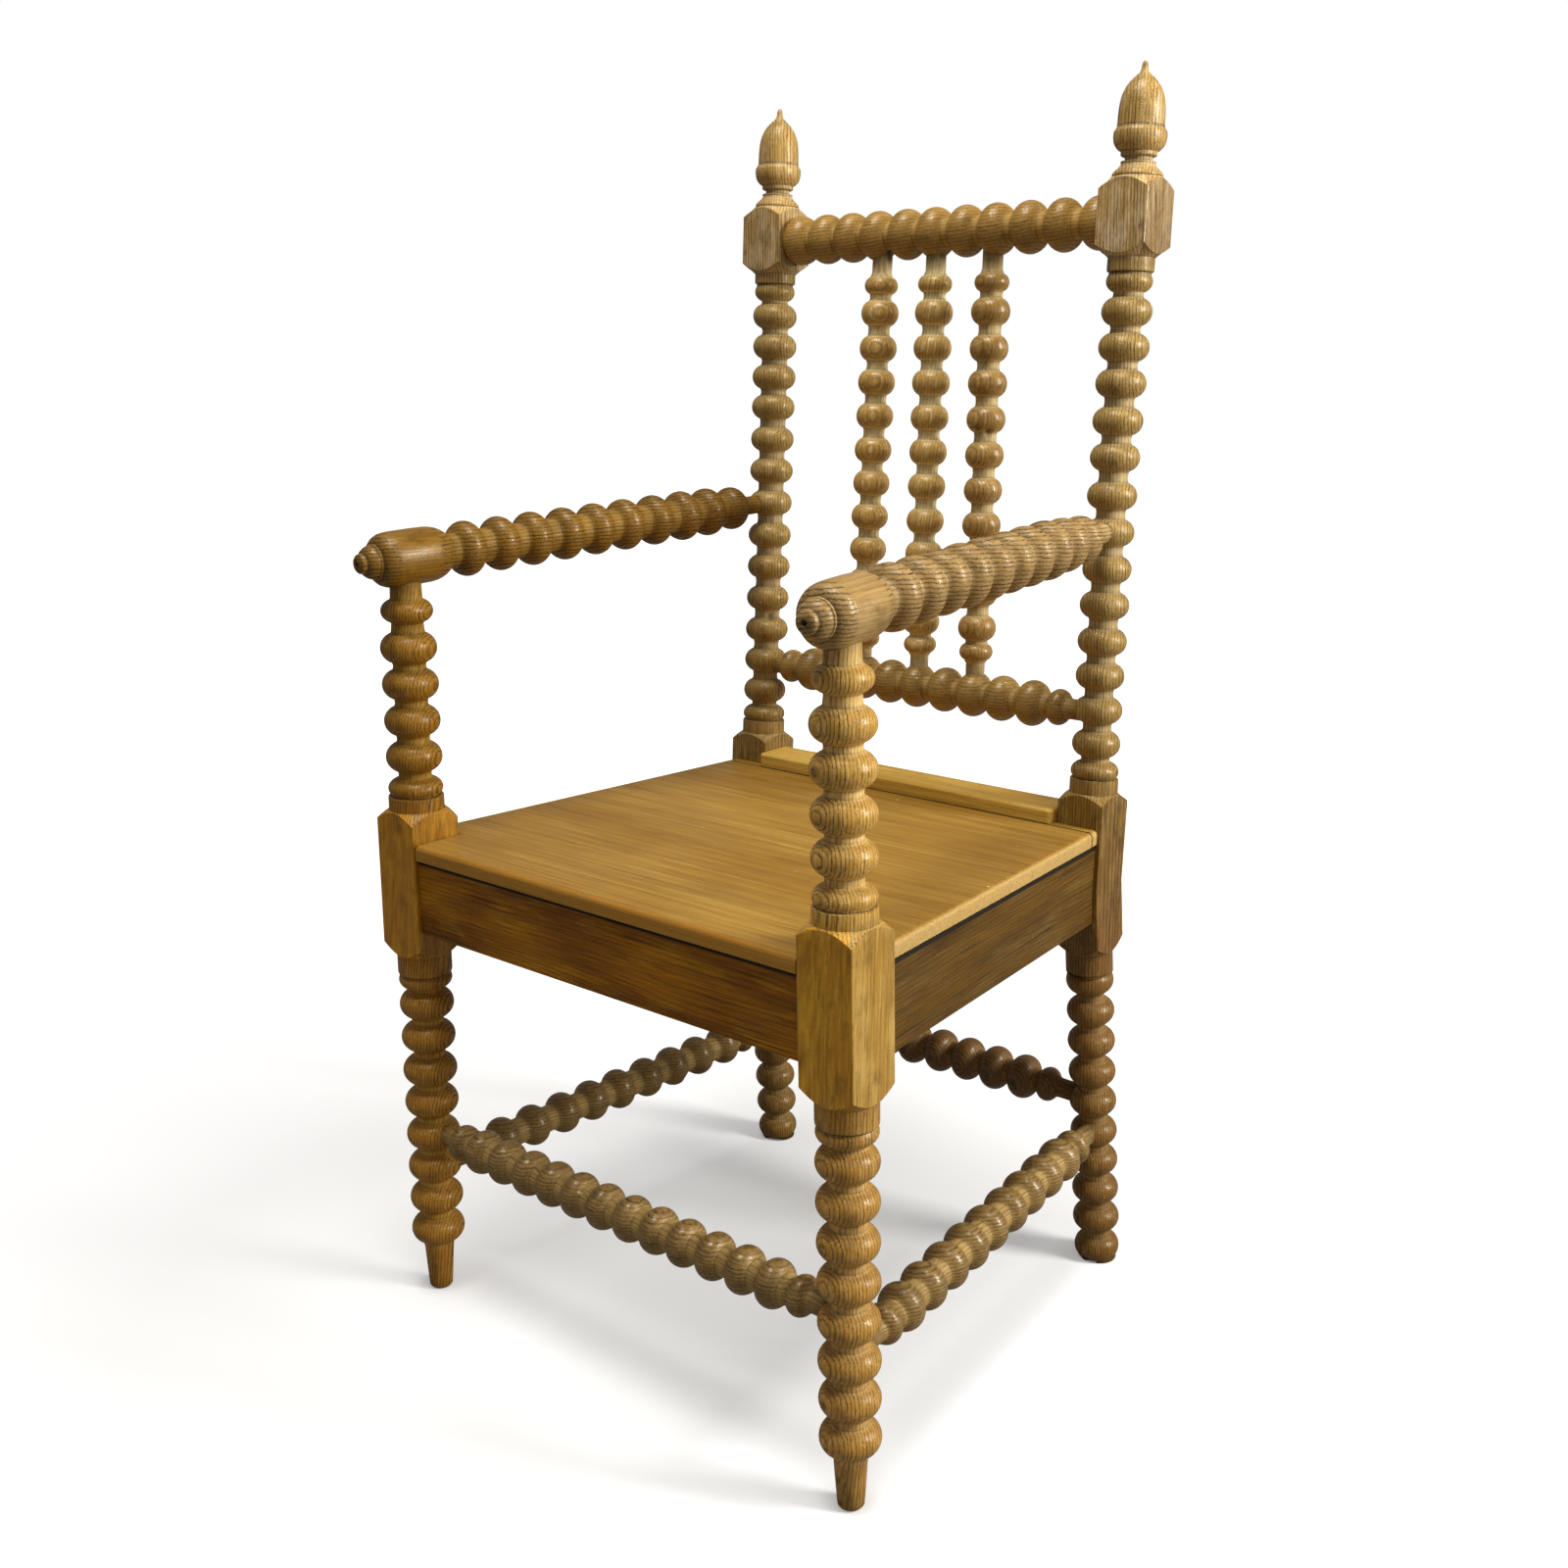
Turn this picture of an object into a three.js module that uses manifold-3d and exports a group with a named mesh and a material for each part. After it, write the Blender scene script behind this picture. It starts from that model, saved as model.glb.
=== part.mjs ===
// Bobbin-turned oak armchair with acorn finials and a plank seat.
// Millimetres. +Z is up, the sitter faces -Y, and the sitter's left is +X.
// Every turned stick, block, rail and board is its own solid, seated in its neighbours' sockets.

import * as THREE from 'three';
import { mergeVertices } from 'three/addons/utils/BufferGeometryUtils.js';
import Module from 'manifold-3d';

const wasm = await Module();
wasm.setup();

// Clearance between pieces, and how far a cutting shape runs past what it cuts
const fit = 0.3;
const overrun = 8;

// Plan of the frame, all to the axes of the turned sticks
const frontFootSpan = 497.7;
const seatDepth = 414.1;
const backSpan = 395.4;
const backFootSpan = 412.8;
const footRake = 35.5;
const backRake = 31.1;

// Height of the seat's upper face, and of the bend and the crest rail from there
const seatHeight = 450;
const bendDrop = 55.5;
const crestRise = 520;

// The chair is hand made, so the sitter's left and right differ a little
const left = {
  name: 'left',
  side: 1,
  armLean: 13.2,
  armFrontRise: 245.6,
  armBackRise: 262.2,
  armLastBobbin: 65,
  crestBlockAbove: 26,
  crestBlockSag: 0,
  bobbinDrift: 0,
  stretcherFrontLift: 3.5,
  stretcherBackLift: 1,
};
const right = {
  name: 'right',
  side: -1,
  armLean: 9.6,
  armFrontRise: 247.2,
  armBackRise: 265.8,
  armLastBobbin: 54.5,
  crestBlockAbove: 22,
  crestBlockSag: 2.5,
  bobbinDrift: 5,
  stretcherFrontLift: -3.4,
  stretcherBackLift: 1.2,
};

// Sides of the turned shapes, and steps in each round of a finial
const stickSides = 8;
const finialSides = 12;
const shoulderSides = 16;
const roundSteps = 4;

// How much of a bobbin's pitch, and of a bead's length, its full belly takes up
const bobbinBellyShare = 0.34;
const beadBellyShare = 0.3;

// Front posts, with the arm on top and a peg foot below
const frontPost = {
  stock: 50.6,
  edgeAboveSeat: 16.7,
  edgeBelowSeat: 99.3,
  topShoulder: 9,
  bottomShoulder: 10.4,
  collar: 48.5,
  topCollar: 11.4,
  bottomCollar: 18.3,
  groove: 2.4,
  grooveDepth: 3,
  bead: 47.8,
  beadLength: 10,
  bobbin: 49.4,
  neck: 29.6,
  upperBobbins: 4,
  lowerBobbins: 8,
  upperStart: 28.3,
  lowerStart: 24.1,
  armBead: 44.6,
  armBeadLength: 15,
  armBeadDrop: 21.3,
  armBeadGap: 31.8,
  armNeck: 26.8,
  armTenon: 15,
};

const foot = {
  firstBobbin: 61.5,
  top: 27,
  pegHeight: 45,
  bottom: 21.4,
  chamfer: 2.6,
  flat: 16.4,
};

// Back posts, bent at the seat block and square again at the crest rail
const backPost = {
  stock: 46.2,
  edgeAboveSeat: 20,
  edgeBelowSeat: 112.2,
  topShoulder: 8,
  bottomShoulder: 11,
  collar: 43.5,
  topCollar: 12.4,
  bottomCollar: 19,
  groove: 2.2,
  grooveDepth: 2.8,
  bead: 43,
  beadLength: 9.5,
  bobbin: 43.2,
  neck: 26,
  upperBobbins: 13,
  lowerBobbins: 10,
  upperStart: 24.7,
  lowerStart: 11.5,
  firstBobbin: 12.8,
  crestBlockBelow: 19,
  crestShoulder: 10,
  crestCollar: 40,
  crestCollarLength: 11,
  crestBead: 40,
  crestBeadLength: 12,
  crestBeadGap: 23,
};

// Acorn finials, dowelled into the crest blocks
const finial = {
  dowel: 14,
  dowelLength: 20,
  base: 43,
  baseEdge: 2.2,
  bell: 7.6,
  bellWaist: 34,
  ring: 30,
  ringLength: 2.6,
  neck: 23.3,
  neckLength: 4.6,
  neckEdge: 1.4,
  disc: 30.6,
  discLength: 3,
  cupFoot: 26,
  cup: 45,
  cupBelly: 13.9,
  cupRim: 44.2,
  rimRise: 3.6,
  rimEase: 3.2,
  nut: 39.6,
  nutLength: 10,
  dome: 33,
  domePower: 2.5,
  domeTip: 7,
  stem: 8,
  stemTip: 3.4,
};

// Arms, turned in one stick from the nose to the tenon in the back post
const arm = {
  noseReach: 46.5,
  noseTip: 9,
  knob: 17,
  knobEdge: 2.5,
  knobLength: 8,
  ring: 29.4,
  ringReach: 30.5,
  ringLength: 1.4,
  domeShoulder: 43,
  domeLength: 6.5,
  barrel: 49.2,
  barrelFront: 13,
  barrelBack: 28,
  barrelEnd: 42,
  neck: 31,
  bobbin: 48.8,
  evenBobbins: 8,
  firstBobbin: 62,
  closePitch: 32.4,
  closeBobbin: 46,
  lastBobbin: 41.6,
  tenon: 18,
  tenonDepth: 14,
};

// Rails of the back and the spindles between them
const crestRail = { bobbins: 11, bobbin: 46.4, neck: 28, pin: 18, pinLength: 18, reach: 32.5, drift: -5.5 };
const lowerRail = {
  bobbins: 9,
  bobbin: 42.4,
  neck: 24,
  pin: 19,
  drop: 3.6,
  fromReach: 65.8,
  toReach: 69.6,
};
const spindle = {
  bobbins: 10,
  bobbin: 36,
  neck: 20.8,
  bead: 31.6,
  beadLength: 13,
  topPin: 15.8,
  bottomPin: 16.4,
  topGap: 21.8,
  bottomGap: 19.4,
  topRun: 26,
  bottomRun: 23,
  tenon: 12,
};

// Where each spindle's ends stand, as shares of the rail's pitch from the middle of the chair
const spindleTopShares = [-1.97, -0.12, 1.76];
const spindleBottomShares = [-2.15, -0.03, 1.97];

// Stretchers between the legs, each pinned near a bobbin that is counted from the floor
const frontStretcher = {
  bobbins: 12,
  bobbin: 40.5,
  neck: 23,
  pin: 19,
  reach: 73.1,
  postBobbin: 4,
  lift: 3,
};
const sideStretcher = {
  bobbins: 9,
  bobbin: 40.5,
  neck: 23,
  pin: 19,
  reach: 76.5,
  frontBobbin: 3,
  backBobbin: 5,
};
const backStretcher = {
  bobbins: 9,
  bobbin: 43.8,
  neck: 23,
  pin: 19,
  fromReach: 64.6,
  toReach: 76.6,
  postBobbin: 6,
  lift: 2,
};
const endBead = { size: 34, length: 12, gap: 28.4 };
const pinDepth = 16;

// Seat board, the batten across its back edge, and the rails below
const seat = { thickness: 13, frontOverhang: 8.2, backOverhang: 20, round: 3 };
const batten = { height: 13.9, proud: 10.5, depth: 43, round: 4, housing: 1 };
const seatRail = {
  height: 69.5,
  sideHeight: 74.6,
  thickness: 22,
  frontSetback: 4.5,
  sideSetback: 4.5,
  sideSetbackBack: 0.8,
  backSetback: 3.4,
  tenon: 10,
  tenonShoulder: 9,
  tenonLength: 18,
};
const cornerBlock = { stand: 32, width: 22, height: 34 };

const oak = { posts: 0x9c7444, backs: 0x8a6236, seat: 0xb08347, rails: 0x80603a, stretchers: 0x6f4f2c };

// Closed solids, and their joining and cutting

function solidFrom(geometry) {
  const bare = geometry.clone();
  bare.deleteAttribute('normal');
  bare.deleteAttribute('uv');
  const merged = mergeVertices(bare);
  const corners = merged.index.array;
  const kept = [];
  for (let i = 0; i < corners.length; i += 3) {
    const [a, b, c] = corners.slice(i, i + 3);
    if (a !== b && b !== c && c !== a) kept.push(a, b, c);
  }
  const vertProperties = new Float32Array(merged.attributes.position.array);
  return new wasm.Manifold(new wasm.Mesh({ numProp: 3, vertProperties, triVerts: new Uint32Array(kept) }));
}

function moved(solid, matrix) {
  return solid.transform(matrix.elements);
}

function joined(first, ...others) {
  return others.reduce((whole, solid) => whole.add(solid), first);
}

function cut(first, ...others) {
  return others.reduce((whole, solid) => whole.subtract(solid), first);
}

function shared(first, ...others) {
  return others.reduce((whole, solid) => whole.intersect(solid), first);
}

function meshOf(name, solid, frame, color) {
  const { vertProperties, triVerts } = moved(solid, frame.clone().invert()).getMesh();
  const geometry = new THREE.BufferGeometry();
  geometry.setAttribute('position', new THREE.BufferAttribute(new Float32Array(vertProperties), 3));
  geometry.setIndex(new THREE.BufferAttribute(new Uint32Array(triVerts), 1));
  geometry.computeVertexNormals();
  const material = new THREE.MeshStandardMaterial({ color, roughness: 0.55, metalness: 0 });
  const mesh = new THREE.Mesh(geometry, material);
  frame.decompose(mesh.position, mesh.quaternion, mesh.scale);
  mesh.name = name;
  return mesh;
}

// Axes, each a line between two points, and frames with their Z along such a line

function frameBetween(from, to) {
  const direction = to.clone().sub(from).normalize();
  const turn = new THREE.Quaternion().setFromUnitVectors(new THREE.Vector3(0, 0, 1), direction);
  return new THREE.Matrix4().compose(from, turn, new THREE.Vector3(1, 1, 1));
}

function pointAt(axis, height) {
  return axis.from.clone().lerp(axis.to, (height - axis.from.z) / (axis.to.z - axis.from.z));
}

function frontAxis(hand) {
  const footX = frontFootSpan / 2;
  const from = new THREE.Vector3(hand.side * footX, 0, 0);
  const to = new THREE.Vector3(hand.side * (footX - hand.armLean), 0, seatHeight + hand.armFrontRise);
  return { from, to };
}

function backUpperAxis(hand) {
  const from = new THREE.Vector3((hand.side * backSpan) / 2, seatDepth, bendHeight);
  const to = new THREE.Vector3((hand.side * backSpan) / 2, seatDepth + backRake, crestHeight);
  return { from, to };
}

function backLowerAxis(hand) {
  const from = new THREE.Vector3((hand.side * backFootSpan) / 2, seatDepth + footRake, 0);
  const to = new THREE.Vector3((hand.side * backSpan) / 2, seatDepth, bendHeight);
  return { from, to };
}

// Turned outlines are lists of rings, each a radius and a place along the axis

function ring(diameter, along) {
  return new THREE.Vector2(diameter / 2, along);
}

function belly(centre, length, size) {
  return [ring(size, centre - length / 2), ring(size, centre + length / 2)];
}

function bead(centre, length, size) {
  return belly(centre, beadBellyShare * length, size);
}

// The bobbins' middles from first to last; in the middle of the run they stray by the drift
function bobbinPlaces(first, last, count, drift) {
  return Array.from({ length: count }, (_, i) => {
    const share = i / (count - 1);
    return first + share * (last - first) + drift * Math.sin(Math.PI * share);
  });
}

function bobbinRun(first, last, count, size, neck, drift = 0) {
  const places = bobbinPlaces(first, last, count, drift);
  const length = (bobbinBellyShare * (last - first)) / (count - 1);
  const rings = belly(places[0], length, size);
  for (let i = 1; i < count; i += 1) {
    rings.push(ring(neck, (places[i - 1] + places[i]) / 2), ...belly(places[i], length, size));
  }
  return rings;
}

function turned(rings, sides) {
  const points = [new THREE.Vector2(0, rings[0].y), ...rings, new THREE.Vector2(0, rings.at(-1).y)];
  const geometry = new THREE.LatheGeometry(points, sides, Math.PI / 2);
  geometry.rotateX(Math.PI / 2);
  return solidFrom(geometry);
}

// Rings whose places are heights above the floor, turned on a leaning axis
function turnedOn(axis, rings, sides) {
  const stretch = axis.from.distanceTo(axis.to) / (axis.to.z - axis.from.z);
  const local = rings.map(({ x, y }) => new THREE.Vector2(x, (y - axis.from.z) * stretch));
  return moved(turned(local, sides), frameBetween(axis.from, axis.to));
}

// A hole for a round pin, with clearance all round it and at its end
function socket(frame, diameter, start, end, sides) {
  const wide = (diameter + 2 * fit) / Math.cos(Math.PI / sides);
  return moved(turned([ring(wide, start), ring(wide, end)], sides), frame);
}

function bar(width, depth, height) {
  return solidFrom(new THREE.BoxGeometry(width, depth, height));
}

// Heights that the posts share with the sticks between them

const bendHeight = seatHeight - bendDrop;
const crestHeight = seatHeight + crestRise;
const seatUnderside = seatHeight - seat.thickness;

const frontEdgeTop = seatHeight + frontPost.edgeAboveSeat;
const frontEdgeBottom = seatHeight - frontPost.edgeBelowSeat;
const frontTopBead = frontEdgeTop + frontPost.topShoulder + frontPost.topCollar
  + frontPost.groove + frontPost.beadLength / 2;
const frontLowBead = frontEdgeBottom - frontPost.bottomShoulder - frontPost.bottomCollar
  - frontPost.groove - frontPost.beadLength / 2;
const frontUpperFirst = frontTopBead + frontPost.upperStart;
const frontLowerLast = frontLowBead - frontPost.lowerStart;

const backEdgeTop = seatHeight + backPost.edgeAboveSeat;
const backEdgeBottom = seatHeight - backPost.edgeBelowSeat;
const backBead = backEdgeTop + backPost.topShoulder + backPost.topCollar
  + backPost.groove + backPost.beadLength / 2;
const crestEdgeBottom = crestHeight - backPost.crestBlockBelow;
const crestCollarFoot = crestEdgeBottom - backPost.crestShoulder - backPost.crestCollarLength;
const crestBead = crestCollarFoot - backPost.groove - backPost.crestBeadLength / 2;
const backUpperFirst = backBead + backPost.upperStart;
const backUpperLast = crestBead - backPost.crestBeadGap;
const backCollarFoot = backEdgeBottom - backPost.bottomShoulder - backPost.bottomCollar;
const backLowerLast = backCollarFoot - backPost.lowerStart;

function armUnderside(hand) {
  return seatHeight + hand.armFrontRise - arm.barrel / 2;
}

function finialFoot(hand) {
  return crestHeight + hand.crestBlockAbove + backPost.crestShoulder;
}

function lowerRailHeight() {
  const pitch = (backUpperLast - backUpperFirst) / (backPost.upperBobbins - 1);
  return backUpperFirst + pitch - lowerRail.drop;
}

function frontBobbinHeight(number) {
  return bobbinPlaces(foot.firstBobbin, frontLowerLast, frontPost.lowerBobbins, 0)[number - 1];
}

function backBobbinHeight(number) {
  return bobbinPlaces(backPost.firstBobbin, backLowerLast, backPost.lowerBobbins, 0)[number - 1];
}

// Square blocks: the stock, less the cones that turn its corners down to the collars

function prismOn(axis, stock, low, high) {
  const middle = pointAt(axis, (low + high) / 2);
  const length = pointAt(axis, low).distanceTo(pointAt(axis, high));
  return moved(bar(stock, stock, length), frameBetween(middle, axis.to));
}

// All that lies within a shoulder's cone, from the collar through the block and past it
function shoulderCone(axis, stock, collar, edge, rise, far) {
  const corner = stock * Math.SQRT2;
  const flare = (overrun * rise) / (corner - collar);
  const rings = [
    ring(corner + overrun, far),
    ring(corner + overrun, edge - flare),
    ring(collar, edge + rise),
  ];
  return turnedOn(axis, rise > 0 ? rings : rings.reverse(), shoulderSides);
}

function shoulderedBlock(axis, stock, top, bottom) {
  const low = bottom.edge - bottom.shoulder;
  const high = top.edge + top.shoulder;
  const upper = shoulderCone(axis, stock, top.collar, top.edge, top.shoulder, low - overrun);
  const lower = shoulderCone(axis, stock, bottom.collar, bottom.edge, -bottom.shoulder, high + overrun);
  return shared(prismOn(axis, stock, low, high), upper, lower);
}

function frontBlock(hand) {
  const top = { edge: frontEdgeTop, shoulder: frontPost.topShoulder, collar: frontPost.collar };
  const bottom = { edge: frontEdgeBottom, shoulder: frontPost.bottomShoulder, collar: frontPost.collar };
  return shoulderedBlock(frontAxis(hand), frontPost.stock, top, bottom);
}

function crestBlock(hand) {
  const topEdge = crestHeight + hand.crestBlockAbove;
  const top = { edge: topEdge, shoulder: backPost.crestShoulder, collar: finial.base };
  const bottomEdge = crestEdgeBottom - hand.crestBlockSag;
  const bottom = { edge: bottomEdge, shoulder: backPost.crestShoulder, collar: backPost.crestCollar };
  return shoulderedBlock(backUpperAxis(hand), backPost.stock, top, bottom);
}

// The bent stock of a back post at the seat, seen from the side and run out across the chair
function bentPrism(hand, low, high, grow) {
  const half = backPost.stock / 2 + grow;
  const sideOf = (point) => new THREE.Vector2(point.y, point.z);
  const bend = new THREE.Vector2(seatDepth, bendHeight);
  const top = sideOf(pointAt(backUpperAxis(hand), high));
  const bottom = sideOf(pointAt(backLowerAxis(hand), low));
  const acrossOf = (from, to) => {
    const along = to.clone().sub(from).normalize();
    return new THREE.Vector2(along.y, -along.x);
  };
  const acrossTop = acrossOf(bend, top);
  const acrossBottom = acrossOf(bottom, bend);
  const mitre = acrossTop.clone().add(acrossBottom).divideScalar(1 + acrossTop.dot(acrossBottom));
  const offset = (point, across, distance) => point.clone().addScaledVector(across, distance);
  const outline = new THREE.Shape([
    offset(bottom, acrossBottom, half),
    offset(bend, mitre, half),
    offset(top, acrossTop, half),
    offset(top, acrossTop, -half),
    offset(bend, mitre, -half),
    offset(bottom, acrossBottom, -half),
  ]);
  const geometry = new THREE.ExtrudeGeometry(outline, { depth: 2 * half, bevelEnabled: false });
  geometry.translate(0, 0, -half);
  const [x, y, z] = [new THREE.Vector3(1, 0, 0), new THREE.Vector3(0, 1, 0), new THREE.Vector3(0, 0, 1)];
  const place = new THREE.Matrix4().makeBasis(y, z, x).setPosition((hand.side * backSpan) / 2, 0, 0);
  return moved(solidFrom(geometry), place);
}

function backBlock(hand) {
  const { stock, collar, topShoulder, bottomShoulder } = backPost;
  const low = backEdgeBottom - bottomShoulder;
  const high = backEdgeTop + topShoulder;
  const [above, below] = [backUpperAxis(hand), backLowerAxis(hand)];
  const upper = shoulderCone(above, stock, collar, backEdgeTop, topShoulder, low - overrun);
  const lower = shoulderCone(below, stock, collar, backEdgeBottom, -bottomShoulder, high + overrun);
  return shared(bentPrism(hand, low, high, 0), upper, lower);
}

// What a board or rail has to keep clear of at the posts
function postSpaces() {
  return [left, right].flatMap((hand) => [
    prismOn(frontAxis(hand), frontPost.stock + 2 * fit, frontEdgeBottom, frontEdgeTop),
    bentPrism(hand, backEdgeBottom, backEdgeTop, fit),
  ]);
}

// Posts

function footRings() {
  return [
    ring(foot.flat, -overrun),
    ring(foot.flat, 0),
    ring(foot.bottom, foot.chamfer),
    ring(foot.top, foot.pegHeight),
  ];
}

// Collar, groove and half bead, from the block outwards; way is 1 above the block and -1 below it
function collarRings(post, middle, way) {
  const near = middle - (way * post.beadLength) / 2;
  const far = middle + (way * post.beadLength) / 2;
  const rings = [
    ring(post.collar, near - way * post.groove),
    ring(post.collar - 2 * post.grooveDepth, near - (way * post.groove) / 2),
    ring(post.bead, near),
    ring(post.bead, middle),
    ring(post.neck, far + way * post.groove),
  ];
  return way > 0 ? rings : rings.reverse();
}

function frontPostRings(hand) {
  const { bobbin, neck, armNeck, armBead, armBeadLength, armBeadGap, armTenon } = frontPost;
  const armBeadHeight = armUnderside(hand) - frontPost.armBeadDrop;
  return [
    ...footRings(),
    ...bobbinRun(foot.firstBobbin, frontLowerLast, frontPost.lowerBobbins, bobbin, neck),
    ...collarRings(frontPost, frontLowBead, -1),
    ...collarRings(frontPost, frontTopBead, 1),
    ...bobbinRun(frontUpperFirst, armBeadHeight - armBeadGap, frontPost.upperBobbins, bobbin, neck),
    ring(neck, armBeadHeight - armBeadGap / 2),
    ...bead(armBeadHeight, armBeadLength, armBead),
    ring(armNeck, armBeadHeight + armBeadLength),
    ring(armNeck, armUnderside(hand) + armTenon),
  ];
}

function backUpperRings(hand) {
  const { bobbin, neck, crestCollar, crestBeadLength, groove, grooveDepth } = backPost;
  return [
    ring(backPost.collar, bendHeight),
    ...collarRings(backPost, backBead, 1),
    ...bobbinRun(backUpperFirst, backUpperLast, backPost.upperBobbins, bobbin, neck, hand.bobbinDrift),
    ring(neck, (backUpperLast + crestBead) / 2),
    ...bead(crestBead, crestBeadLength, backPost.crestBead),
    ring(crestCollar - 2 * grooveDepth, crestCollarFoot - groove / 2),
    ring(crestCollar, crestCollarFoot),
    ring(crestCollar, crestHeight),
  ];
}

function backLowerRings() {
  const { bobbin, neck, collar, groove, grooveDepth, firstBobbin } = backPost;
  return [
    ring(neck, 0),
    ...bobbinRun(firstBobbin, backLowerLast, backPost.lowerBobbins, bobbin, neck),
    ring(collar - 2 * grooveDepth, backCollarFoot - groove / 2),
    ring(collar, backCollarFoot),
    ring(collar, bendHeight),
  ];
}

function aboveFloor(solid) {
  return solid.trimByPlane([0, 0, 1], 0);
}

function frontPostSolid(hand) {
  const stick = aboveFloor(turnedOn(frontAxis(hand), frontPostRings(hand), stickSides));
  const stretchers = [...frontStretcherStick().sockets, ...sideStretcherStick(hand).sockets];
  return cut(joined(stick, frontBlock(hand)), ...stretchers, mortise(frontRail()), mortise(sideRail(hand)));
}

function backPostSolid(hand) {
  const upper = turnedOn(backUpperAxis(hand), backUpperRings(hand), stickSides);
  const lower = aboveFloor(turnedOn(backLowerAxis(hand), backLowerRings(), stickSides));
  const post = joined(upper, lower, backBlock(hand), crestBlock(hand));
  const sticks = [crestRailStick(), lowerRailStick(), backStretcherStick(), sideStretcherStick(hand)];
  const sockets = [...sticks.flatMap((stick) => stick.sockets), armSocket(hand), finialSocket(hand)];
  return cut(post, ...sockets, mortise(backRail()), mortise(sideRail(hand)));
}

// Finials

function finialFrame(hand) {
  const axis = backUpperAxis(hand);
  const base = pointAt(axis, finialFoot(hand) + fit);
  return frameBetween(base, base.clone().add(axis.to).sub(axis.from));
}

function finialRings() {
  const bellTop = finial.baseEdge + finial.bell;
  const ringTop = bellTop + finial.ringLength;
  const neckTop = ringTop + finial.neckLength;
  const discTop = neckTop + finial.discLength;
  const cupBelly = discTop + finial.cupBelly;
  const rim = cupBelly + finial.rimRise;
  const nutFoot = rim + finial.rimEase;
  const nutTop = nutFoot + finial.nutLength;
  const tip = nutTop + finial.dome + finial.stem;
  return [
    ring(finial.dowel, -finial.dowelLength),
    ring(finial.dowel, 0),
    ring(finial.base, 0),
    ring(finial.base, finial.baseEdge),
    ring(finial.bellWaist, finial.baseEdge + finial.bell / 2),
    ring(finial.ring, bellTop),
    ring(finial.ring, ringTop),
    ring(finial.neck, ringTop + finial.neckEdge),
    ring(finial.neck, neckTop - finial.neckEdge),
    ring(finial.disc, neckTop),
    ring(finial.disc, discTop),
    ...cupRound(finial.cupFoot, finial.cup, discTop, cupBelly),
    ring(finial.cupRim, rim),
    ring(finial.nut, nutFoot),
    ring(finial.nut, nutTop),
    ...domeRound(finial.nut, finial.domeTip, nutTop, nutTop + finial.dome),
    ring(finial.stemTip, tip),
  ];
}

// Rings of a round, without its first: the cup swells up from its foot, the dome closes to its tip

function roundShares() {
  return Array.from({ length: roundSteps }, (_, i) => (i + 1) / roundSteps);
}

function cupRound(footSize, size, low, high) {
  const turns = roundShares().map((share) => (share * Math.PI) / 2);
  const rise = (turn) => low + (high - low) * (1 - Math.cos(turn));
  return turns.map((turn) => ring(footSize + (size - footSize) * Math.sin(turn), rise(turn)));
}

function domeRound(size, tipSize, low, high) {
  const sizeAt = (share) => tipSize + (size - tipSize) * (1 - share ** finial.domePower);
  return roundShares().map((share) => ring(sizeAt(share), low + (high - low) * share));
}

function finialSolid(hand) {
  return moved(turned(finialRings(), finialSides), finialFrame(hand));
}

function finialSocket(hand) {
  return socket(finialFrame(hand), finial.dowel, -finial.dowelLength - fit, overrun, finialSides);
}

// Arms

function armBackPoint(hand) {
  return pointAt(backUpperAxis(hand), seatHeight + hand.armBackRise);
}

function armFrame(hand) {
  return frameBetween(frontAxis(hand).to, armBackPoint(hand));
}

function armLength(hand) {
  return frontAxis(hand).to.distanceTo(armBackPoint(hand));
}

function armRings(hand) {
  const closeLast = armLength(hand) - hand.armLastBobbin;
  const closeFirst = closeLast - arm.closePitch;
  const last = closeFirst - arm.closePitch;
  const closeBelly = bobbinBellyShare * arm.closePitch;
  const tenonEnd = armLength(hand) - backPost.bobbin / 2 + arm.tenonDepth;
  return [
    ring(arm.noseTip, -arm.noseReach),
    ring(arm.knob, arm.knobEdge - arm.noseReach),
    ring(arm.knob, arm.knobLength - arm.noseReach),
    ring(arm.ring, -arm.ringReach),
    ring(arm.ring, arm.ringLength - arm.ringReach),
    ring(arm.domeShoulder, arm.domeLength - arm.ringReach),
    ring(arm.barrel, -arm.barrelFront),
    ring(arm.barrel, arm.barrelBack),
    ring(arm.neck, arm.barrelEnd),
    ...bobbinRun(arm.firstBobbin, last, arm.evenBobbins, arm.bobbin, arm.neck),
    ring(arm.neck, last + arm.closePitch / 2),
    ...belly(closeFirst, closeBelly, arm.closeBobbin),
    ring(arm.neck, closeFirst + arm.closePitch / 2),
    ...belly(closeLast, closeBelly, arm.lastBobbin),
    ring(arm.tenon, closeLast + arm.closePitch / 2),
    ring(arm.tenon, tenonEnd),
  ];
}

function armSolid(hand) {
  const stick = moved(turned(armRings(hand), stickSides), armFrame(hand));
  const axis = frontAxis(hand);
  const base = frameBetween(pointAt(axis, armUnderside(hand)), axis.to);
  return cut(stick, socket(base, frontPost.armNeck, -overrun, frontPost.armTenon + fit, stickSides));
}

function armSocket(hand) {
  const length = armLength(hand);
  const end = length - backPost.bobbin / 2 + arm.tenonDepth + fit;
  return socket(armFrame(hand), arm.tenon, length - backPost.stock, end, stickSides);
}

// Sticks from post to post

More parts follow.
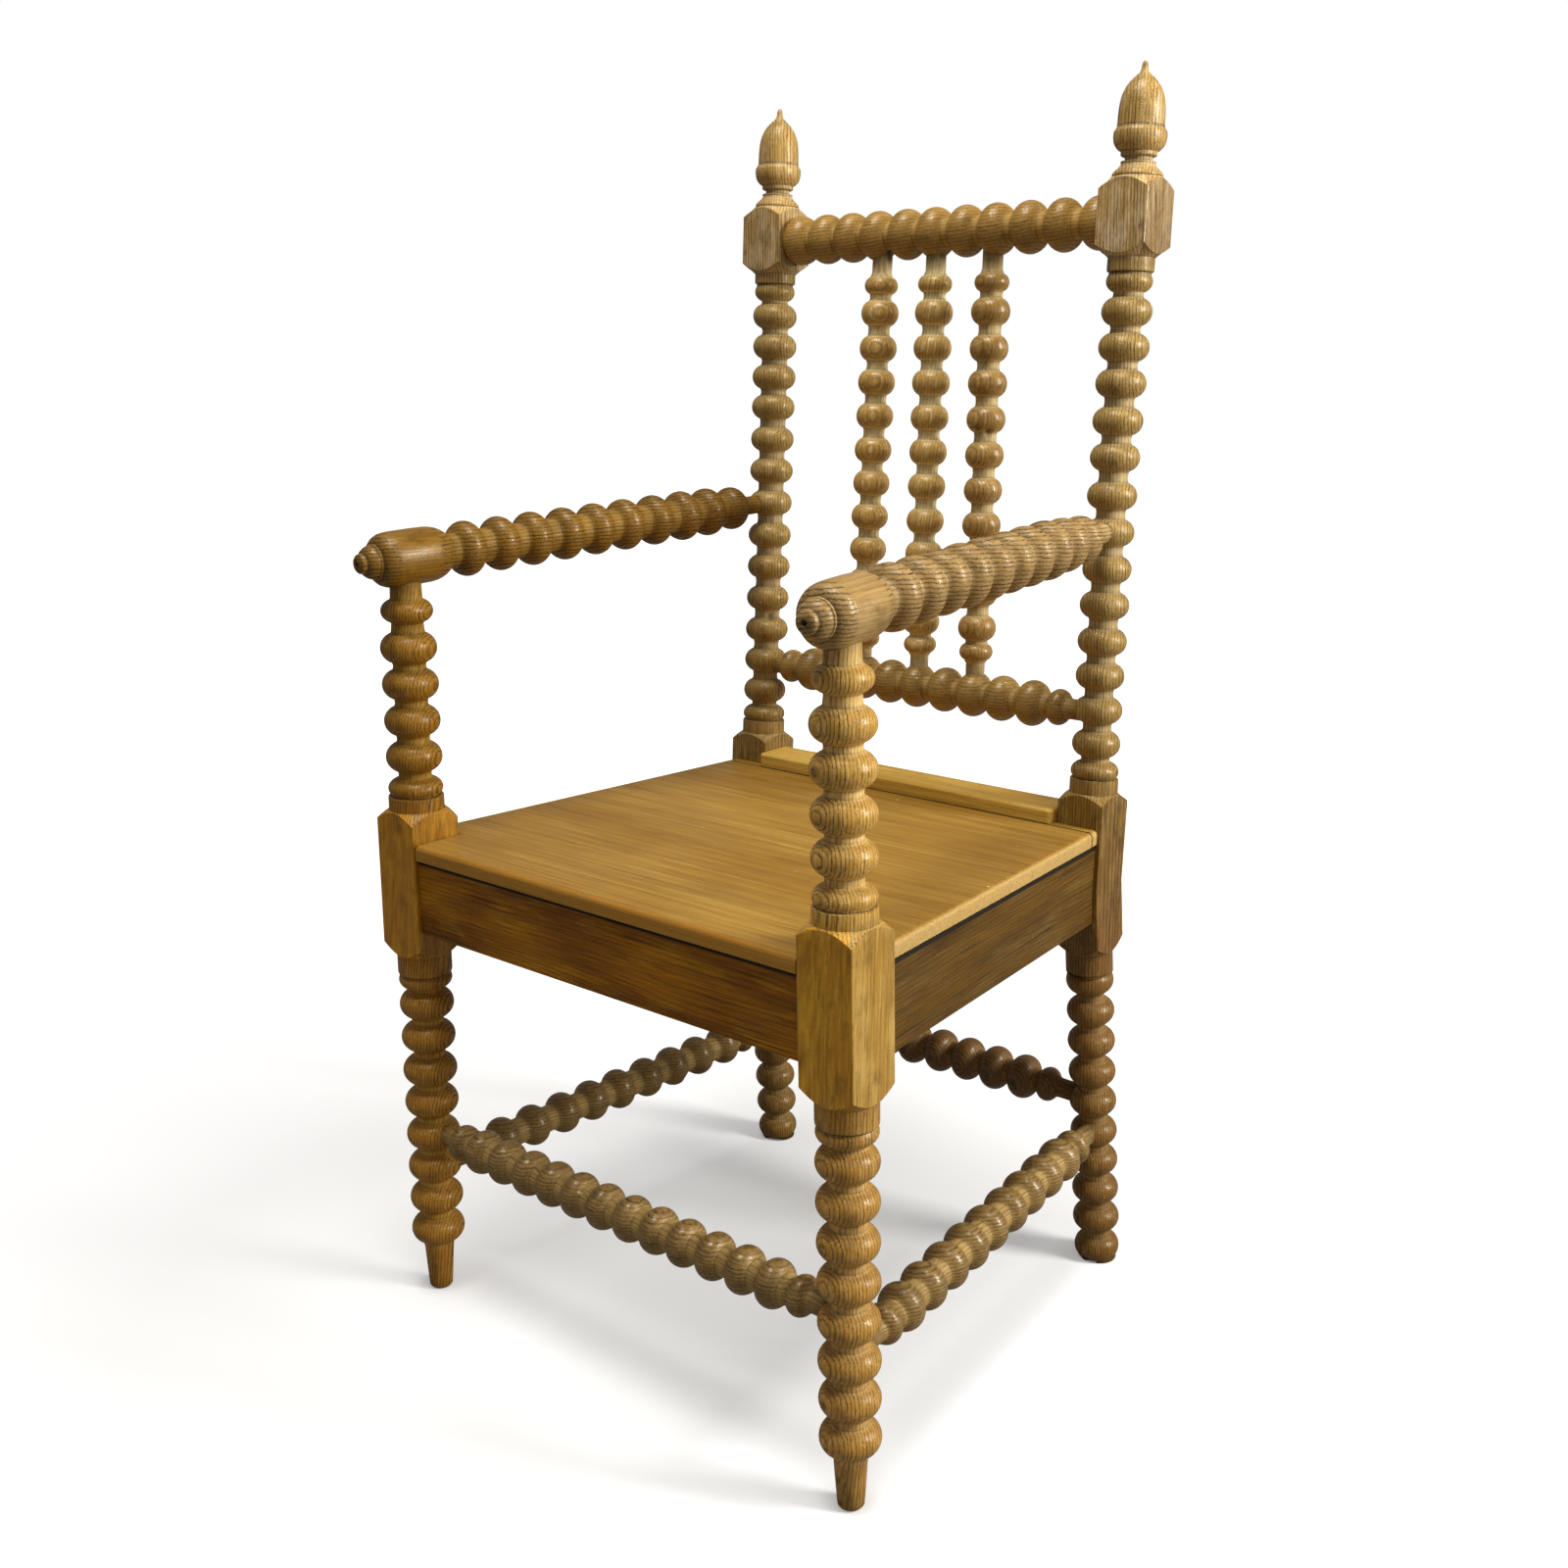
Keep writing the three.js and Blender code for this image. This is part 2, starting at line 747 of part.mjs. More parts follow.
function stickRings(length, spec) {
  const { fromReach = spec.reach, toReach = spec.reach } = spec;
  const nearBead = fromReach - endBead.gap;
  const farBead = length - toReach + endBead.gap;
  return [
    ring(spec.pin, spec.start),
    ring(spec.pin, nearBead - endBead.length),
    ...bead(nearBead, endBead.length, endBead.size),
    ring(spec.neck, nearBead + endBead.gap / 2),
    ...bobbinRun(fromReach, length - toReach, spec.bobbins, spec.bobbin, spec.neck),
    ring(spec.neck, farBead - endBead.gap / 2),
    ...bead(farBead, endBead.length, endBead.size),
    ring(spec.pin, farBead + endBead.length),
    ring(spec.pin, length - spec.end),
  ];
}

// A stick on its frame, and the sockets that its two pins need
function stickBetween(from, to, spec) {
  const frame = frameBetween(from, to);
  const length = from.distanceTo(to);
  return {
    frame,
    solid: moved(turned(stickRings(length, spec), stickSides), frame),
    sockets: pinSockets(frame, length, spec),
  };
}

function pinSockets(frame, length, spec) {
  return [
    socket(frame, spec.pin, spec.start - fit, spec.start + frontPost.stock, stickSides),
    socket(frame, spec.pin, length - spec.end - frontPost.stock, length - spec.end + fit, stickSides),
  ];
}

// How far from a post's axis a pin's end stays
const frontPinEnd = frontPost.bobbin / 2 - pinDepth;
const backPinEnd = backPost.bobbin / 2 - pinDepth;

function frontStretcherStick() {
  const height = frontBobbinHeight(frontStretcher.postBobbin) + frontStretcher.lift;
  const spec = { ...frontStretcher, start: frontPinEnd, end: frontPinEnd };
  return stickBetween(pointAt(frontAxis(right), height), pointAt(frontAxis(left), height), spec);
}

function backStretcherStick() {
  const height = backBobbinHeight(backStretcher.postBobbin) + backStretcher.lift;
  const spec = { ...backStretcher, start: backPinEnd, end: backPinEnd };
  return stickBetween(pointAt(backLowerAxis(right), height), pointAt(backLowerAxis(left), height), spec);
}

function sideStretcherStick(hand) {
  const frontHeight = frontBobbinHeight(sideStretcher.frontBobbin) + hand.stretcherFrontLift;
  const backHeight = backBobbinHeight(sideStretcher.backBobbin) + hand.stretcherBackLift;
  const spec = { ...sideStretcher, start: frontPinEnd, end: backPinEnd };
  const from = pointAt(frontAxis(hand), frontHeight);
  return stickBetween(from, pointAt(backLowerAxis(hand), backHeight), spec);
}

function lowerRailStick() {
  const height = lowerRailHeight();
  const spec = { ...lowerRail, start: backPinEnd, end: backPinEnd };
  return stickBetween(pointAt(backUpperAxis(right), height), pointAt(backUpperAxis(left), height), spec);
}

// Crest rail: its end bobbins are cut square where they meet the crest blocks
function crestRailStick() {
  const { reach, bobbins, bobbin, neck, pin, pinLength, drift } = crestRail;
  const from = pointAt(backUpperAxis(right), crestHeight);
  const frame = frameBetween(from, pointAt(backUpperAxis(left), crestHeight));
  const shoulder = backPost.stock / 2 + fit;
  const start = backPost.stock / 2 - pinLength;
  const whole = turned(bobbinRun(reach, backSpan - reach, bobbins, bobbin, neck, drift), stickSides);
  const body = whole.trimByPlane([0, 0, 1], shoulder).trimByPlane([0, 0, -1], shoulder - backSpan);
  const pins = turned([ring(pin, start), ring(pin, backSpan - start)], stickSides);
  return {
    frame,
    solid: moved(joined(body, pins), frame),
    sockets: pinSockets(frame, backSpan, { pin, start, end: start }),
  };
}

// Spindles

function spindleEnds(number) {
  const crestPitch = (backSpan - 2 * crestRail.reach) / (crestRail.bobbins - 1);
  const lowerPitch = (backSpan - lowerRail.fromReach - lowerRail.toReach) / (lowerRail.bobbins - 1);
  const fromX = spindleBottomShares[number] * lowerPitch;
  const toX = spindleTopShares[number] * crestPitch;
  const from = pointAt(backUpperAxis(left), lowerRailHeight()).setX(fromX);
  const to = pointAt(backUpperAxis(left), crestHeight).setX(toX);
  return { from, to };
}

function spindleSolid(number) {
  const { from, to } = spindleEnds(number);
  const length = from.distanceTo(to);
  const bottomBead = lowerRail.bobbin / 2 + spindle.bottomGap;
  const topBead = length - crestRail.bobbin / 2 - spindle.topGap;
  const first = bottomBead + spindle.bottomRun;
  const last = topBead - spindle.topRun;
  const rings = [
    ring(spindle.bottomPin, lowerRail.bobbin / 2 - spindle.tenon),
    ring(spindle.bottomPin, bottomBead - spindle.beadLength),
    ...bead(bottomBead, spindle.beadLength, spindle.bead),
    ring(spindle.neck, bottomBead + spindle.bottomRun / 2),
    ...bobbinRun(first, last, spindle.bobbins, spindle.bobbin, spindle.neck),
    ring(spindle.neck, topBead - spindle.topRun / 2),
    ...bead(topBead, spindle.beadLength, spindle.bead),
    ring(spindle.topPin, topBead + spindle.beadLength),
    ring(spindle.topPin, length - crestRail.bobbin / 2 + spindle.tenon),
  ];
  return moved(turned(rings, stickSides), frameBetween(from, to));
}

function spindleSocket(number, end) {
  const { from, to } = spindleEnds(number);
  const [frame, rail, pin] = end === 'top'
    ? [frameBetween(to, from), crestRail, spindle.topPin]
    : [frameBetween(from, to), lowerRail, spindle.bottomPin];
  return socket(frame, pin, rail.bobbin / 2 - spindle.tenon - fit, rail.bobbin, stickSides);
}

// Seat rails: a plank shouldered against the posts, with one long tenon through it

function railFrame(from, to) {
  const angle = Math.atan2(to.y - from.y, to.x - from.x);
  const middle = from.clone().add(to).divideScalar(2);
  const turn = new THREE.Quaternion().setFromAxisAngle(new THREE.Vector3(0, 0, 1), angle);
  return new THREE.Matrix4().compose(middle, turn, new THREE.Vector3(1, 1, 1));
}

function railMiddle(height) {
  return seatUnderside - fit - height / 2;
}

// Each rail's frame and height, the length between its shoulders, and how far its plank runs past them
function frontRail() {
  const { height } = seatRail;
  const y = seatRail.frontSetback + seatRail.thickness / 2 - frontPost.stock / 2;
  const [from, to] = [right, left].map((hand) => pointAt(frontAxis(hand), railMiddle(height)).setY(y));
  const shoulders = from.distanceTo(to) - frontPost.stock;
  return { frame: railFrame(from, to), height, shoulders, run: frontPost.stock };
}

function backRail() {
  const { height } = seatRail;
  const y = seatDepth + backPost.stock / 2 - seatRail.backSetback - seatRail.thickness / 2;
  const [from, to] = [right, left].map((hand) => {
    return new THREE.Vector3((hand.side * backSpan) / 2, y, railMiddle(height));
  });
  return { frame: railFrame(from, to), height, shoulders: backSpan - backPost.stock, run: backPost.stock };
}

function sideRail(hand) {
  const { from, to } = sideRailEnds(hand);
  const shoulders = from.distanceTo(to);
  return { frame: railFrame(from, to), height: seatRail.sideHeight, shoulders, run: backPost.stock };
}

const seatFrontHalf = frontFootSpan / 2 + seat.frontOverhang;
const seatBackHalf = backSpan / 2 + seat.backOverhang;

// The two ends of a side rail's centre line, at the faces of the front and back blocks
function sideRailEnds(hand) {
  const inset = seatRail.thickness / 2;
  const frontX = seatFrontHalf - seatRail.sideSetback - inset;
  const backX = seatBackHalf - seatRail.sideSetbackBack - inset;
  const middle = railMiddle(seatRail.sideHeight);
  const from = new THREE.Vector3(hand.side * frontX, frontPost.stock / 2, middle);
  const to = new THREE.Vector3(hand.side * backX, seatDepth - backPost.stock / 2, middle);
  return { from, to };
}

function railTenon(rail, grow) {
  const height = rail.height - 2 * seatRail.tenonShoulder + 2 * grow;
  const length = rail.shoulders + 2 * seatRail.tenonLength + 2 * grow;
  return moved(bar(length, seatRail.tenon + 2 * grow, height), rail.frame);
}

function mortise(rail) {
  return railTenon(rail, fit);
}

function railSolid(rail) {
  const plank = moved(bar(rail.shoulders + rail.run, seatRail.thickness, rail.height), rail.frame);
  return joined(cut(plank, ...postSpaces()), railTenon(rail, 0));
}

// Boards with eased upper edges

function easedBoard(outline, bottom, thickness, round) {
  const bevel = { bevelThickness: round, bevelSize: round, bevelOffset: -round, bevelSegments: 2 };
  const geometry = new THREE.ExtrudeGeometry(outline, { depth: thickness, ...bevel });
  geometry.translate(0, 0, bottom - round);
  return solidFrom(geometry).trimByPlane([0, 0, 1], bottom);
}

function rectangle(halfWidth, front, back) {
  return new THREE.Shape([
    new THREE.Vector2(-halfWidth, front),
    new THREE.Vector2(halfWidth, front),
    new THREE.Vector2(halfWidth, back),
    new THREE.Vector2(-halfWidth, back),
  ]);
}

function seatBoard() {
  const front = -frontPost.stock / 2;
  const back = seatDepth + backPost.stock / 2 - seatRail.backSetback;
  const slope = (seatBackHalf - seatFrontHalf) / (seatDepth - backPost.stock / 2 - front);
  const backHalf = seatFrontHalf + (back - front) * slope;
  const outline = new THREE.Shape([
    new THREE.Vector2(-seatFrontHalf, front),
    new THREE.Vector2(seatFrontHalf, front),
    new THREE.Vector2(backHalf, back),
    new THREE.Vector2(-backHalf, back),
  ]);
  const board = easedBoard(outline, seatUnderside, seat.thickness, seat.round);
  return cut(board, battenHousing(), ...postSpaces());
}

// The batten stands between the back blocks, let into the board by a shallow housing

function battenFront() {
  return pointAt(backUpperAxis(left), seatHeight).y - backPost.stock / 2 - batten.proud;
}

function battenHousing() {
  const front = battenFront();
  const length = backSpan - backPost.stock + 2 * fit;
  const hole = bar(length, batten.depth + 2 * fit, 2 * batten.housing);
  return hole.translate([0, front + batten.depth / 2, seatHeight]);
}

function backBatten() {
  const front = battenFront();
  const outline = rectangle((backSpan - backPost.stock) / 2 - fit, front, front + batten.depth);
  const bottom = seatHeight - batten.housing + fit;
  return easedBoard(outline, bottom, seatHeight + batten.height - bottom, batten.round);
}

// Glue blocks across the corners inside the rails, under the board

function cornerBlockSolid(hand, end) {
  const { from, to } = sideRailEnds(hand);
  const way = end === 'front' ? 1 : -1;
  const frontFace = seatRail.frontSetback + seatRail.thickness - frontPost.stock / 2;
  const backFace = seatDepth + backPost.stock / 2 - seatRail.backSetback - seatRail.thickness;
  const cornerY = end === 'front' ? frontFace : backFace;
  const centreX = from.x + ((cornerY - from.y) * (to.x - from.x)) / (to.y - from.y);
  const middle = seatUnderside - fit - cornerBlock.height / 2;
  const corner = new THREE.Vector3(centreX - (hand.side * seatRail.thickness) / 2, cornerY, middle);
  const inward = new THREE.Vector3(-hand.side, way, 0).normalize();
  const centre = corner.clone().addScaledVector(inward, cornerBlock.stand + cornerBlock.width / 2);
  const across = new THREE.Vector3(-inward.y, inward.x, 0);
  const length = 2 * (cornerBlock.stand + 2 * cornerBlock.width);
  const frame = railFrame(centre.clone().sub(across), centre.clone().add(across));
  const block = moved(bar(length, cornerBlock.width, cornerBlock.height), frame);
  const keepClear = [frontRail(), backRail(), sideRail(hand)].map(railSpace);
  const pieces = cut(block, ...keepClear).decompose();
  return { frame, solid: pieces.find((piece) => holds(piece, centre)) };
}

function railSpace(rail) {
  const wide = seatRail.thickness + 2 * fit;
  return moved(bar(rail.shoulders + 2 * rail.run, wide, rail.height + 2 * fit), rail.frame);
}

function holds(solid, point) {
  const { min, max } = solid.boundingBox();
  return min[0] < point.x && point.x < max[0] && min[1] < point.y && point.y < max[1];
}

// The chair

const chair = new THREE.Group();

function add(name, solid, frame, colour) {
  chair.add(meshOf(name, solid, frame, colour));
}

function addStick(name, stick, colour) {
  add(name, stick.solid, stick.frame, colour);
}

function upright(x, y, z) {
  return new THREE.Matrix4().makeTranslation(x, y, z);
}

for (const hand of [left, right]) {
  const { name } = hand;
  const front = frontAxis(hand);
  const back = backUpperAxis(hand);
  add(`front_post_${name}`, frontPostSolid(hand), frameBetween(front.from, front.to), oak.posts);
  add(`back_post_${name}`, backPostSolid(hand), frameBetween(back.from, back.to), oak.posts);
  add(`acorn_finial_${name}`, finialSolid(hand), finialFrame(hand), oak.posts);
  add(`arm_${name}`, armSolid(hand), armFrame(hand), oak.backs);
  addStick(`side_stretcher_${name}`, sideStretcherStick(hand), oak.stretchers);
  add(`side_seat_rail_${name}`, railSolid(sideRail(hand)), sideRail(hand).frame, oak.rails);
  for (const end of ['front', 'back']) {
    addStick(`corner_block_${end}_${name}`, cornerBlockSolid(hand, end), oak.rails);
  }
}

addStick('front_stretcher', frontStretcherStick(), oak.stretchers);
addStick('back_stretcher', backStretcherStick(), oak.stretchers);

const spindles = [0, 1, 2];
const lower = lowerRailStick();
const crest = crestRailStick();
const bottomSockets = spindles.map((number) => spindleSocket(number, 'bottom'));
const topSockets = spindles.map((number) => spindleSocket(number, 'top'));
add('lower_back_rail', cut(lower.solid, ...bottomSockets), lower.frame, oak.backs);
add('crest_rail', cut(crest.solid, ...topSockets), crest.frame, oak.backs);
for (const number of spindles) {
  const { from, to } = spindleEnds(number);
  add(`back_spindle_${number + 1}`, spindleSolid(number), frameBetween(from, to), oak.backs);
}

add('front_seat_rail', railSolid(frontRail()), frontRail().frame, oak.rails);
add('back_seat_rail', railSolid(backRail()), backRail().frame, oak.rails);
add('seat_board', seatBoard(), upright(0, 0, seatUnderside), oak.seat);
add('back_batten', backBatten(), upright(0, seatDepth, seatHeight), oak.seat);

// The origin lies on the floor, under the middle of the chair's box
const box = new THREE.Box3().setFromObject(chair, true);
const centre = box.getCenter(new THREE.Vector3());
chair.position.set(-centre.x, -centre.y, 0);
const model = new THREE.Group();
model.add(chair);

export default model;
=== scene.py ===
"""Bobbin-turned oak armchair with acorn finials and a plank seat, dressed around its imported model."""

import math
import random
from types import SimpleNamespace

import bmesh
import bpy
import numpy as np
from mathutils import Matrix, Vector

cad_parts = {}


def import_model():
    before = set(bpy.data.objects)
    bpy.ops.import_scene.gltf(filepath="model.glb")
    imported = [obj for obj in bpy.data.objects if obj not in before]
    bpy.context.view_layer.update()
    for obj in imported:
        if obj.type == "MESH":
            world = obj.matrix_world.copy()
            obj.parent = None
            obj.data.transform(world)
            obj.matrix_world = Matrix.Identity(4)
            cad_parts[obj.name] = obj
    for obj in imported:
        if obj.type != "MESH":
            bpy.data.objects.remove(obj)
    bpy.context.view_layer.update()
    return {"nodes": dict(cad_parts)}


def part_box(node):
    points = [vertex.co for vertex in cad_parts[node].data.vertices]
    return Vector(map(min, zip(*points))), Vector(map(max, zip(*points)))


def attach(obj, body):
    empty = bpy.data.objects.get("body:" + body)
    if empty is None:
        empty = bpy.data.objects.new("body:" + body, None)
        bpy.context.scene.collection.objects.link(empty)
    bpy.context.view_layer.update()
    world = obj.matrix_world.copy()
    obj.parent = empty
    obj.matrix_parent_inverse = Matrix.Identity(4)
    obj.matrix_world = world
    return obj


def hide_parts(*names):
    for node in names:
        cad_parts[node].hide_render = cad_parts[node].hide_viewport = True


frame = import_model()

# Lengths are in millimetres until a piece is placed
MM = 0.001

# Columns round a turned stick, and how far a square block's corners are eased
COLUMNS = 64
CORNER = 1.3

# Edges that bend by more than so many degrees stay sharp
TURNED_SHARP = 32
PLANK_SHARP = 30

# Plan and heights of the frame, all to the axes of the turned sticks
SEAT_HEIGHT = 450
FRONT_SPAN = 497.7
SEAT_DEPTH = 414.1
BACK_SPAN = 395.4
BACK_FOOT_SPAN = 412.8
FOOT_RAKE = 35.5
BACK_RAKE = 31.1
BEND = 394.5
CREST = 970

FRONT_STOCK = 50.6
BACK_STOCK = 46.2
CREST_STOCK = 47.2

# The two sides are hand made and differ a little; each pair is the sitter's left, then right
SAME = (1, 1, 1)
PAIRS = dict(
    name=("left", "right"), side=(1, -1), arm_lean=(13.2, 9.6), arm_front=(695.6, 696.6),
    arm_back=(712.2, 715.2), arm_last=(65, 55.5), arm_sizes=((50.8, 49.4), (49, 47.6)),
    barrel=(50, 48.2),
    crest_above=(26, 22), crest_sag=(0, 2.5), drift=(0, 5), bow=(-2.6, 0.8), top_shift=(0, -1.7),
    last_bobbin=(-2.2, 0), leg_lift=(0, 1.5), leg_size=(44.4, 43.6), stretcher_front=(3.5, -3.4),
    stretcher_back=(1, 1.2), arm_patina=(((0, 0.78, 0.8, 0.82),), ((0, 0.46, 0.37, 0.1),)),
    post_tints=((SAME, SAME, SAME), ((0.94, 0.82, 0.4), (0.74, 0.68, 0.38), (0.54, 0.44, 0.16))),
    # The back legs' factors below are painted shade
    leg_tint=((0.86, 0.78, 0.68), SAME),
    # The blocks' face factors below are painted light and shade
    front_faces=(((1.14, 0.97, 0.2), (0.88, 0.89, 0.88)), ((1.44, 1.18, 0.1), (1.1, 1, 0.7))),
    back_faces=(((1, 1, 0.75), (0.78, 0.7, 0.52)), ((1, 1, 0.8), SAME)),
    crest_faces=(((1.3, 1.36, 1.6), (0.62, 0.58, 0.56)), (SAME, SAME)))
LEFT, RIGHT = (SimpleNamespace(**{key: pair[i] for key, pair in PAIRS.items()}) for i in (0, 1))


def chair_origin():
    """Where the chair's own origin, between the front posts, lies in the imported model."""
    low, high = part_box("seat_board")
    return Vector(((low.x + high.x) / 2, low.y + FRONT_STOCK / 2 * MM, 0))


ORIGIN = chair_origin()


def axis(start, end):
    return Vector(start), Vector(end)


def at_height(line, z):
    a, b = line
    return a.lerp(b, (z - a.z) / (b.z - a.z))


def front_axis(hand):
    s = hand.side
    return axis((s * FRONT_SPAN / 2, 0, 0), (s * (FRONT_SPAN / 2 - hand.arm_lean), 0, hand.arm_front))


def back_upper(hand):
    x = hand.side * BACK_SPAN / 2
    return axis((x, SEAT_DEPTH, BEND), (x, SEAT_DEPTH + BACK_RAKE, CREST))


def back_lower(hand):
    s = hand.side
    return axis((s * BACK_FOOT_SPAN / 2, SEAT_DEPTH + FOOT_RAKE, 0), (s * BACK_SPAN / 2, SEAT_DEPTH, BEND))


# Turned outlines

# How a bobbin departs from the turner's aim, the core of its ellipse as a share of its radius, the fillet
# that it meets the neck in, and the two rings of the crease at its foot
BELLY_SHORT_SHARE = 0.012
BELLY_STRAY = 0.5
BELLY_CORE = 0.43
BELLY_STEPS = 7
FILLET = 0.9
NECK_SHORT_SHARE = 0.02
CREASE = ((0.7, 0.35, 0.95, 0.6), (1.8, 0.05, 1.0, 0.2))


class Outline:
    """Rings of a turned stick: place along the axis, radius, how hollow the place is, and how much painted
    shade it gets.
    """

    def __init__(self, seed):
        self.rows = []
        self.random = random.Random(seed)

    def add(self, along, radius, hollow=0.0, dark=0.0):
        self.rows.append((along, radius, hollow, dark))

    def belly(self, centre, size, neck, reach, core_share=BELLY_CORE):
        """One bobbin: an ellipse that meets the necks in small fillets."""
        full = size / 2 * (1 - BELLY_SHORT_SHARE * self.random.random())
        core = core_share * full
        centre += self.random.uniform(-BELLY_STRAY, BELLY_STRAY)
        last = min(1.0, max(0.06, (neck / 2 + FILLET - core) / (full - core)))
        quarter = []
        for i in range(BELLY_STEPS + 1):
            turn = math.acos(last) * i / BELLY_STEPS
            quarter.append((math.sin(turn), core + (full - core) * math.cos(turn)))
        foot = reach * quarter[-1][0]
        for way in (-1, 1):
            side = []
            for rise, radius in quarter:
                hollow = (full - radius) / max(full - neck / 2, 0.1)
                side.append((centre + way * reach * rise, radius, hollow ** 2, 0.0))
            for out, proud, hollow, dark in CREASE:
                side.append((centre + way * (foot + out), neck / 2 + proud, hollow, dark))
            self.rows.extend(side[::-1] if way < 0 else side[1:])

    def bobbins(self, centres, sizes, neck, reach):
        for i, (centre, size) in enumerate(zip(centres, sizes)):
            if i:
                middle = (centres[i - 1] + centre) / 2
                self.add(middle, neck / 2 * (1 - NECK_SHORT_SHARE * self.random.random()), 1.0)
            self.belly(centre, size, neck, reach)

    def groove(self, middle, radius, depth, width):
        """A sharp V cut."""
        self.add(middle - width / 2, radius, 0.2, 0.2)
        self.add(middle - width / 8, radius - depth, 0.6, 1.0)
        self.add(middle + width / 8, radius - depth, 0.6, 1.0)
        self.add(middle + width / 2, radius, 0.2, 0.2)


def places(first, last, count, drift=0.0, wave=0.0):
    """Centres of a run of bobbins, which the turner set out by eye."""
    steps = [i / (count - 1) for i in range(count)]
    return [first + s * (last - first) + drift * math.sin(math.pi * s) + wave * math.sin(2 * math.pi * s)
            for s in steps]


def ring_rows(*rows):
    """Rings of an outline: place, radius, hollow and dark, of which the last may be left off where 0."""
    return [(*row, *[0] * (4 - len(row))) for row in rows]


def tapering(count, first, last=None):
    last = first if last is None else last
    return [first + (last - first) * i / (count - 1) for i in range(count)]


# Where a stick lay in its tree, and factors on its colour, in part painted light and shade

# Which way the tree's heart lies from a stick: seen from the sitter's front left, the growth layers then
# stand on edge beside it, lie flat before it, or come between the two
BESIDE = (-0.79, -0.61, 0)
BEFORE = (0.52, -0.85, 0)
BETWEEN = (-0.32, -0.95, 0)
ASIDE = (0.87, 0.5, 0)
BELOW = (0.2, -0.1, -1)

# Colour of the posts from the floor up, as factors on the wood's red, green and blue; the lower parts are
# darker, which is painted shade
FRONT_TONE_AND_SHADE = ((0, 1.15, 1.02, 0.84), (330, 1.17, 1.04, 0.84), (350, 1.13, 1.02, 0.64),
                (466, 1.15, 1.04, 0.66), (480, 1.44, 1.36, 1.14), (700, 1.48, 1.42, 1.27))
BACK_TONE_AND_SHADE = ((0, 0.64, 0.57, 0.48), (340, 0.7, 0.63, 0.55), (500, 0.74, 0.74, 0.76),
               (620, 0.89, 0.92, 1.04), (930, 0.95, 1.01, 1.22), (960, 1.22, 1.3, 1.9),
               (1000, 1.24, 1.3, 1.7), (1100, 1.2, 1.24, 1.5))
PLAIN = ((0, 1, 1, 1),)
FACE_FADE = 8

# How far from the tree's heart a stick was cut, how long the tree was, how much the stick's axis runs askew
# to it, and by how much the heart's direction strays, in radians
HEART_NEAREST, HEART_FARTHEST = 80, 120
TREE_LENGTH = 3000
ASKEW = 0.12
HEART_STRAY = 0.08


def grain_offset(away, seed):
    """From the tree's heart to the stick; away is the heart's direction across the stick."""
    pick = random.Random(seed * 7 + 3)
    reach = pick.uniform(HEART_NEAREST, HEART_FARTHEST)
    return np.array((-away[0] * reach, -away[1] * reach, pick.uniform(0, TREE_LENGTH)))


def across_stick(matrix, heart, seed):
    """The heart's direction in the stick's own frame, turned a little at random."""
    local = matrix.to_3x3().inverted() @ Vector(heart)
    turn = math.atan2(local.y, local.x) + random.Random(seed).uniform(-HEART_STRAY, HEART_STRAY)
    return math.cos(turn), math.sin(turn)


def grain_of(local, away, seed):
    """Each point's place in the tree; the stick's axis runs a little askew to the tree's."""
    slope = random.Random(seed * 5 + 1).uniform(-ASKEW, ASKEW)
    askew = slope * local[:, 2:3] * np.array([[away[0], away[1], 0]])
    return local + askew + grain_offset(away, seed)


def points_of(mesh):
    co = np.empty(len(mesh.vertices) * 3)
    mesh.vertices.foreach_get("co", co)
    return co


def tint_of(mesh, tone_and_shade, faces=()):
    """Colour factors by height, which paint shade on the posts' lower parts, and on a block by face, which
    paint light and shade: lowest and highest place, share of the face, factors.
    """
    z = points_of(mesh)[2::3] / MM
    heights = [row[0] for row in tone_and_shade]
    tint = np.stack([np.interp(z, heights, [row[i] for row in tone_and_shade]) for i in (1, 2, 3)], axis=1)
    for low, high, share, factors in faces:
        inside = np.clip((z - low) / FACE_FADE, 0, 1) * np.clip((high - z) / FACE_FADE, 0, 1) * share
        tint *= 1 + inside[:, None] * (np.array(factors) - 1)
    return tint


def link(name, data):
    made = bpy.data.objects.new(name, data)
    bpy.context.scene.collection.objects.link(made)
    return made


def smooth(mesh, sharp):
    """Shades the mesh smooth, but for edges that bend by more than sharp degrees."""
    mesh.polygons.foreach_set("use_smooth", [True] * len(mesh.polygons))
    mesh.set_sharp_from_angle(angle=math.radians(sharp))


def finish_mesh(name, mesh, matrix, grain, layers, tone_and_shade, faces=()):
    """Links the mesh as a piece, with what its material needs stored at its points."""
    mesh.transform(matrix)
    stand_on_floor(mesh)
    for key, vectors in (("grain", grain), ("tint", tint_of(mesh, tone_and_shade, faces))):
        layer = mesh.attributes.new(key, "FLOAT_VECTOR", "POINT")
        layer.data.foreach_set("vector", np.asarray(vectors, np.float32).ravel())
    for key, values in layers.items():
        layer = mesh.attributes.new(key, "FLOAT", "POINT")
        layer.data.foreach_set("value", np.asarray(values, np.float32))
    return link(name, mesh)


def stand_on_floor(mesh):
    """A leaning leg is cut level where it meets the floor."""
    co = points_of(mesh)
    co[2::3] = np.maximum(co[2::3], 0)
    mesh.vertices.foreach_set("co", co)
    mesh.update()


# Turned meshes

def frame_between(start, end):
    """A frame at start with its Z along the line, in metres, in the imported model's axes."""
    turn = Vector((0, 0, 1)).rotation_difference((end - start).normalized())
    return Matrix.Translation(ORIGIN + start * MM) @ turn.to_matrix().to_4x4() @ Matrix.Scale(MM, 4)


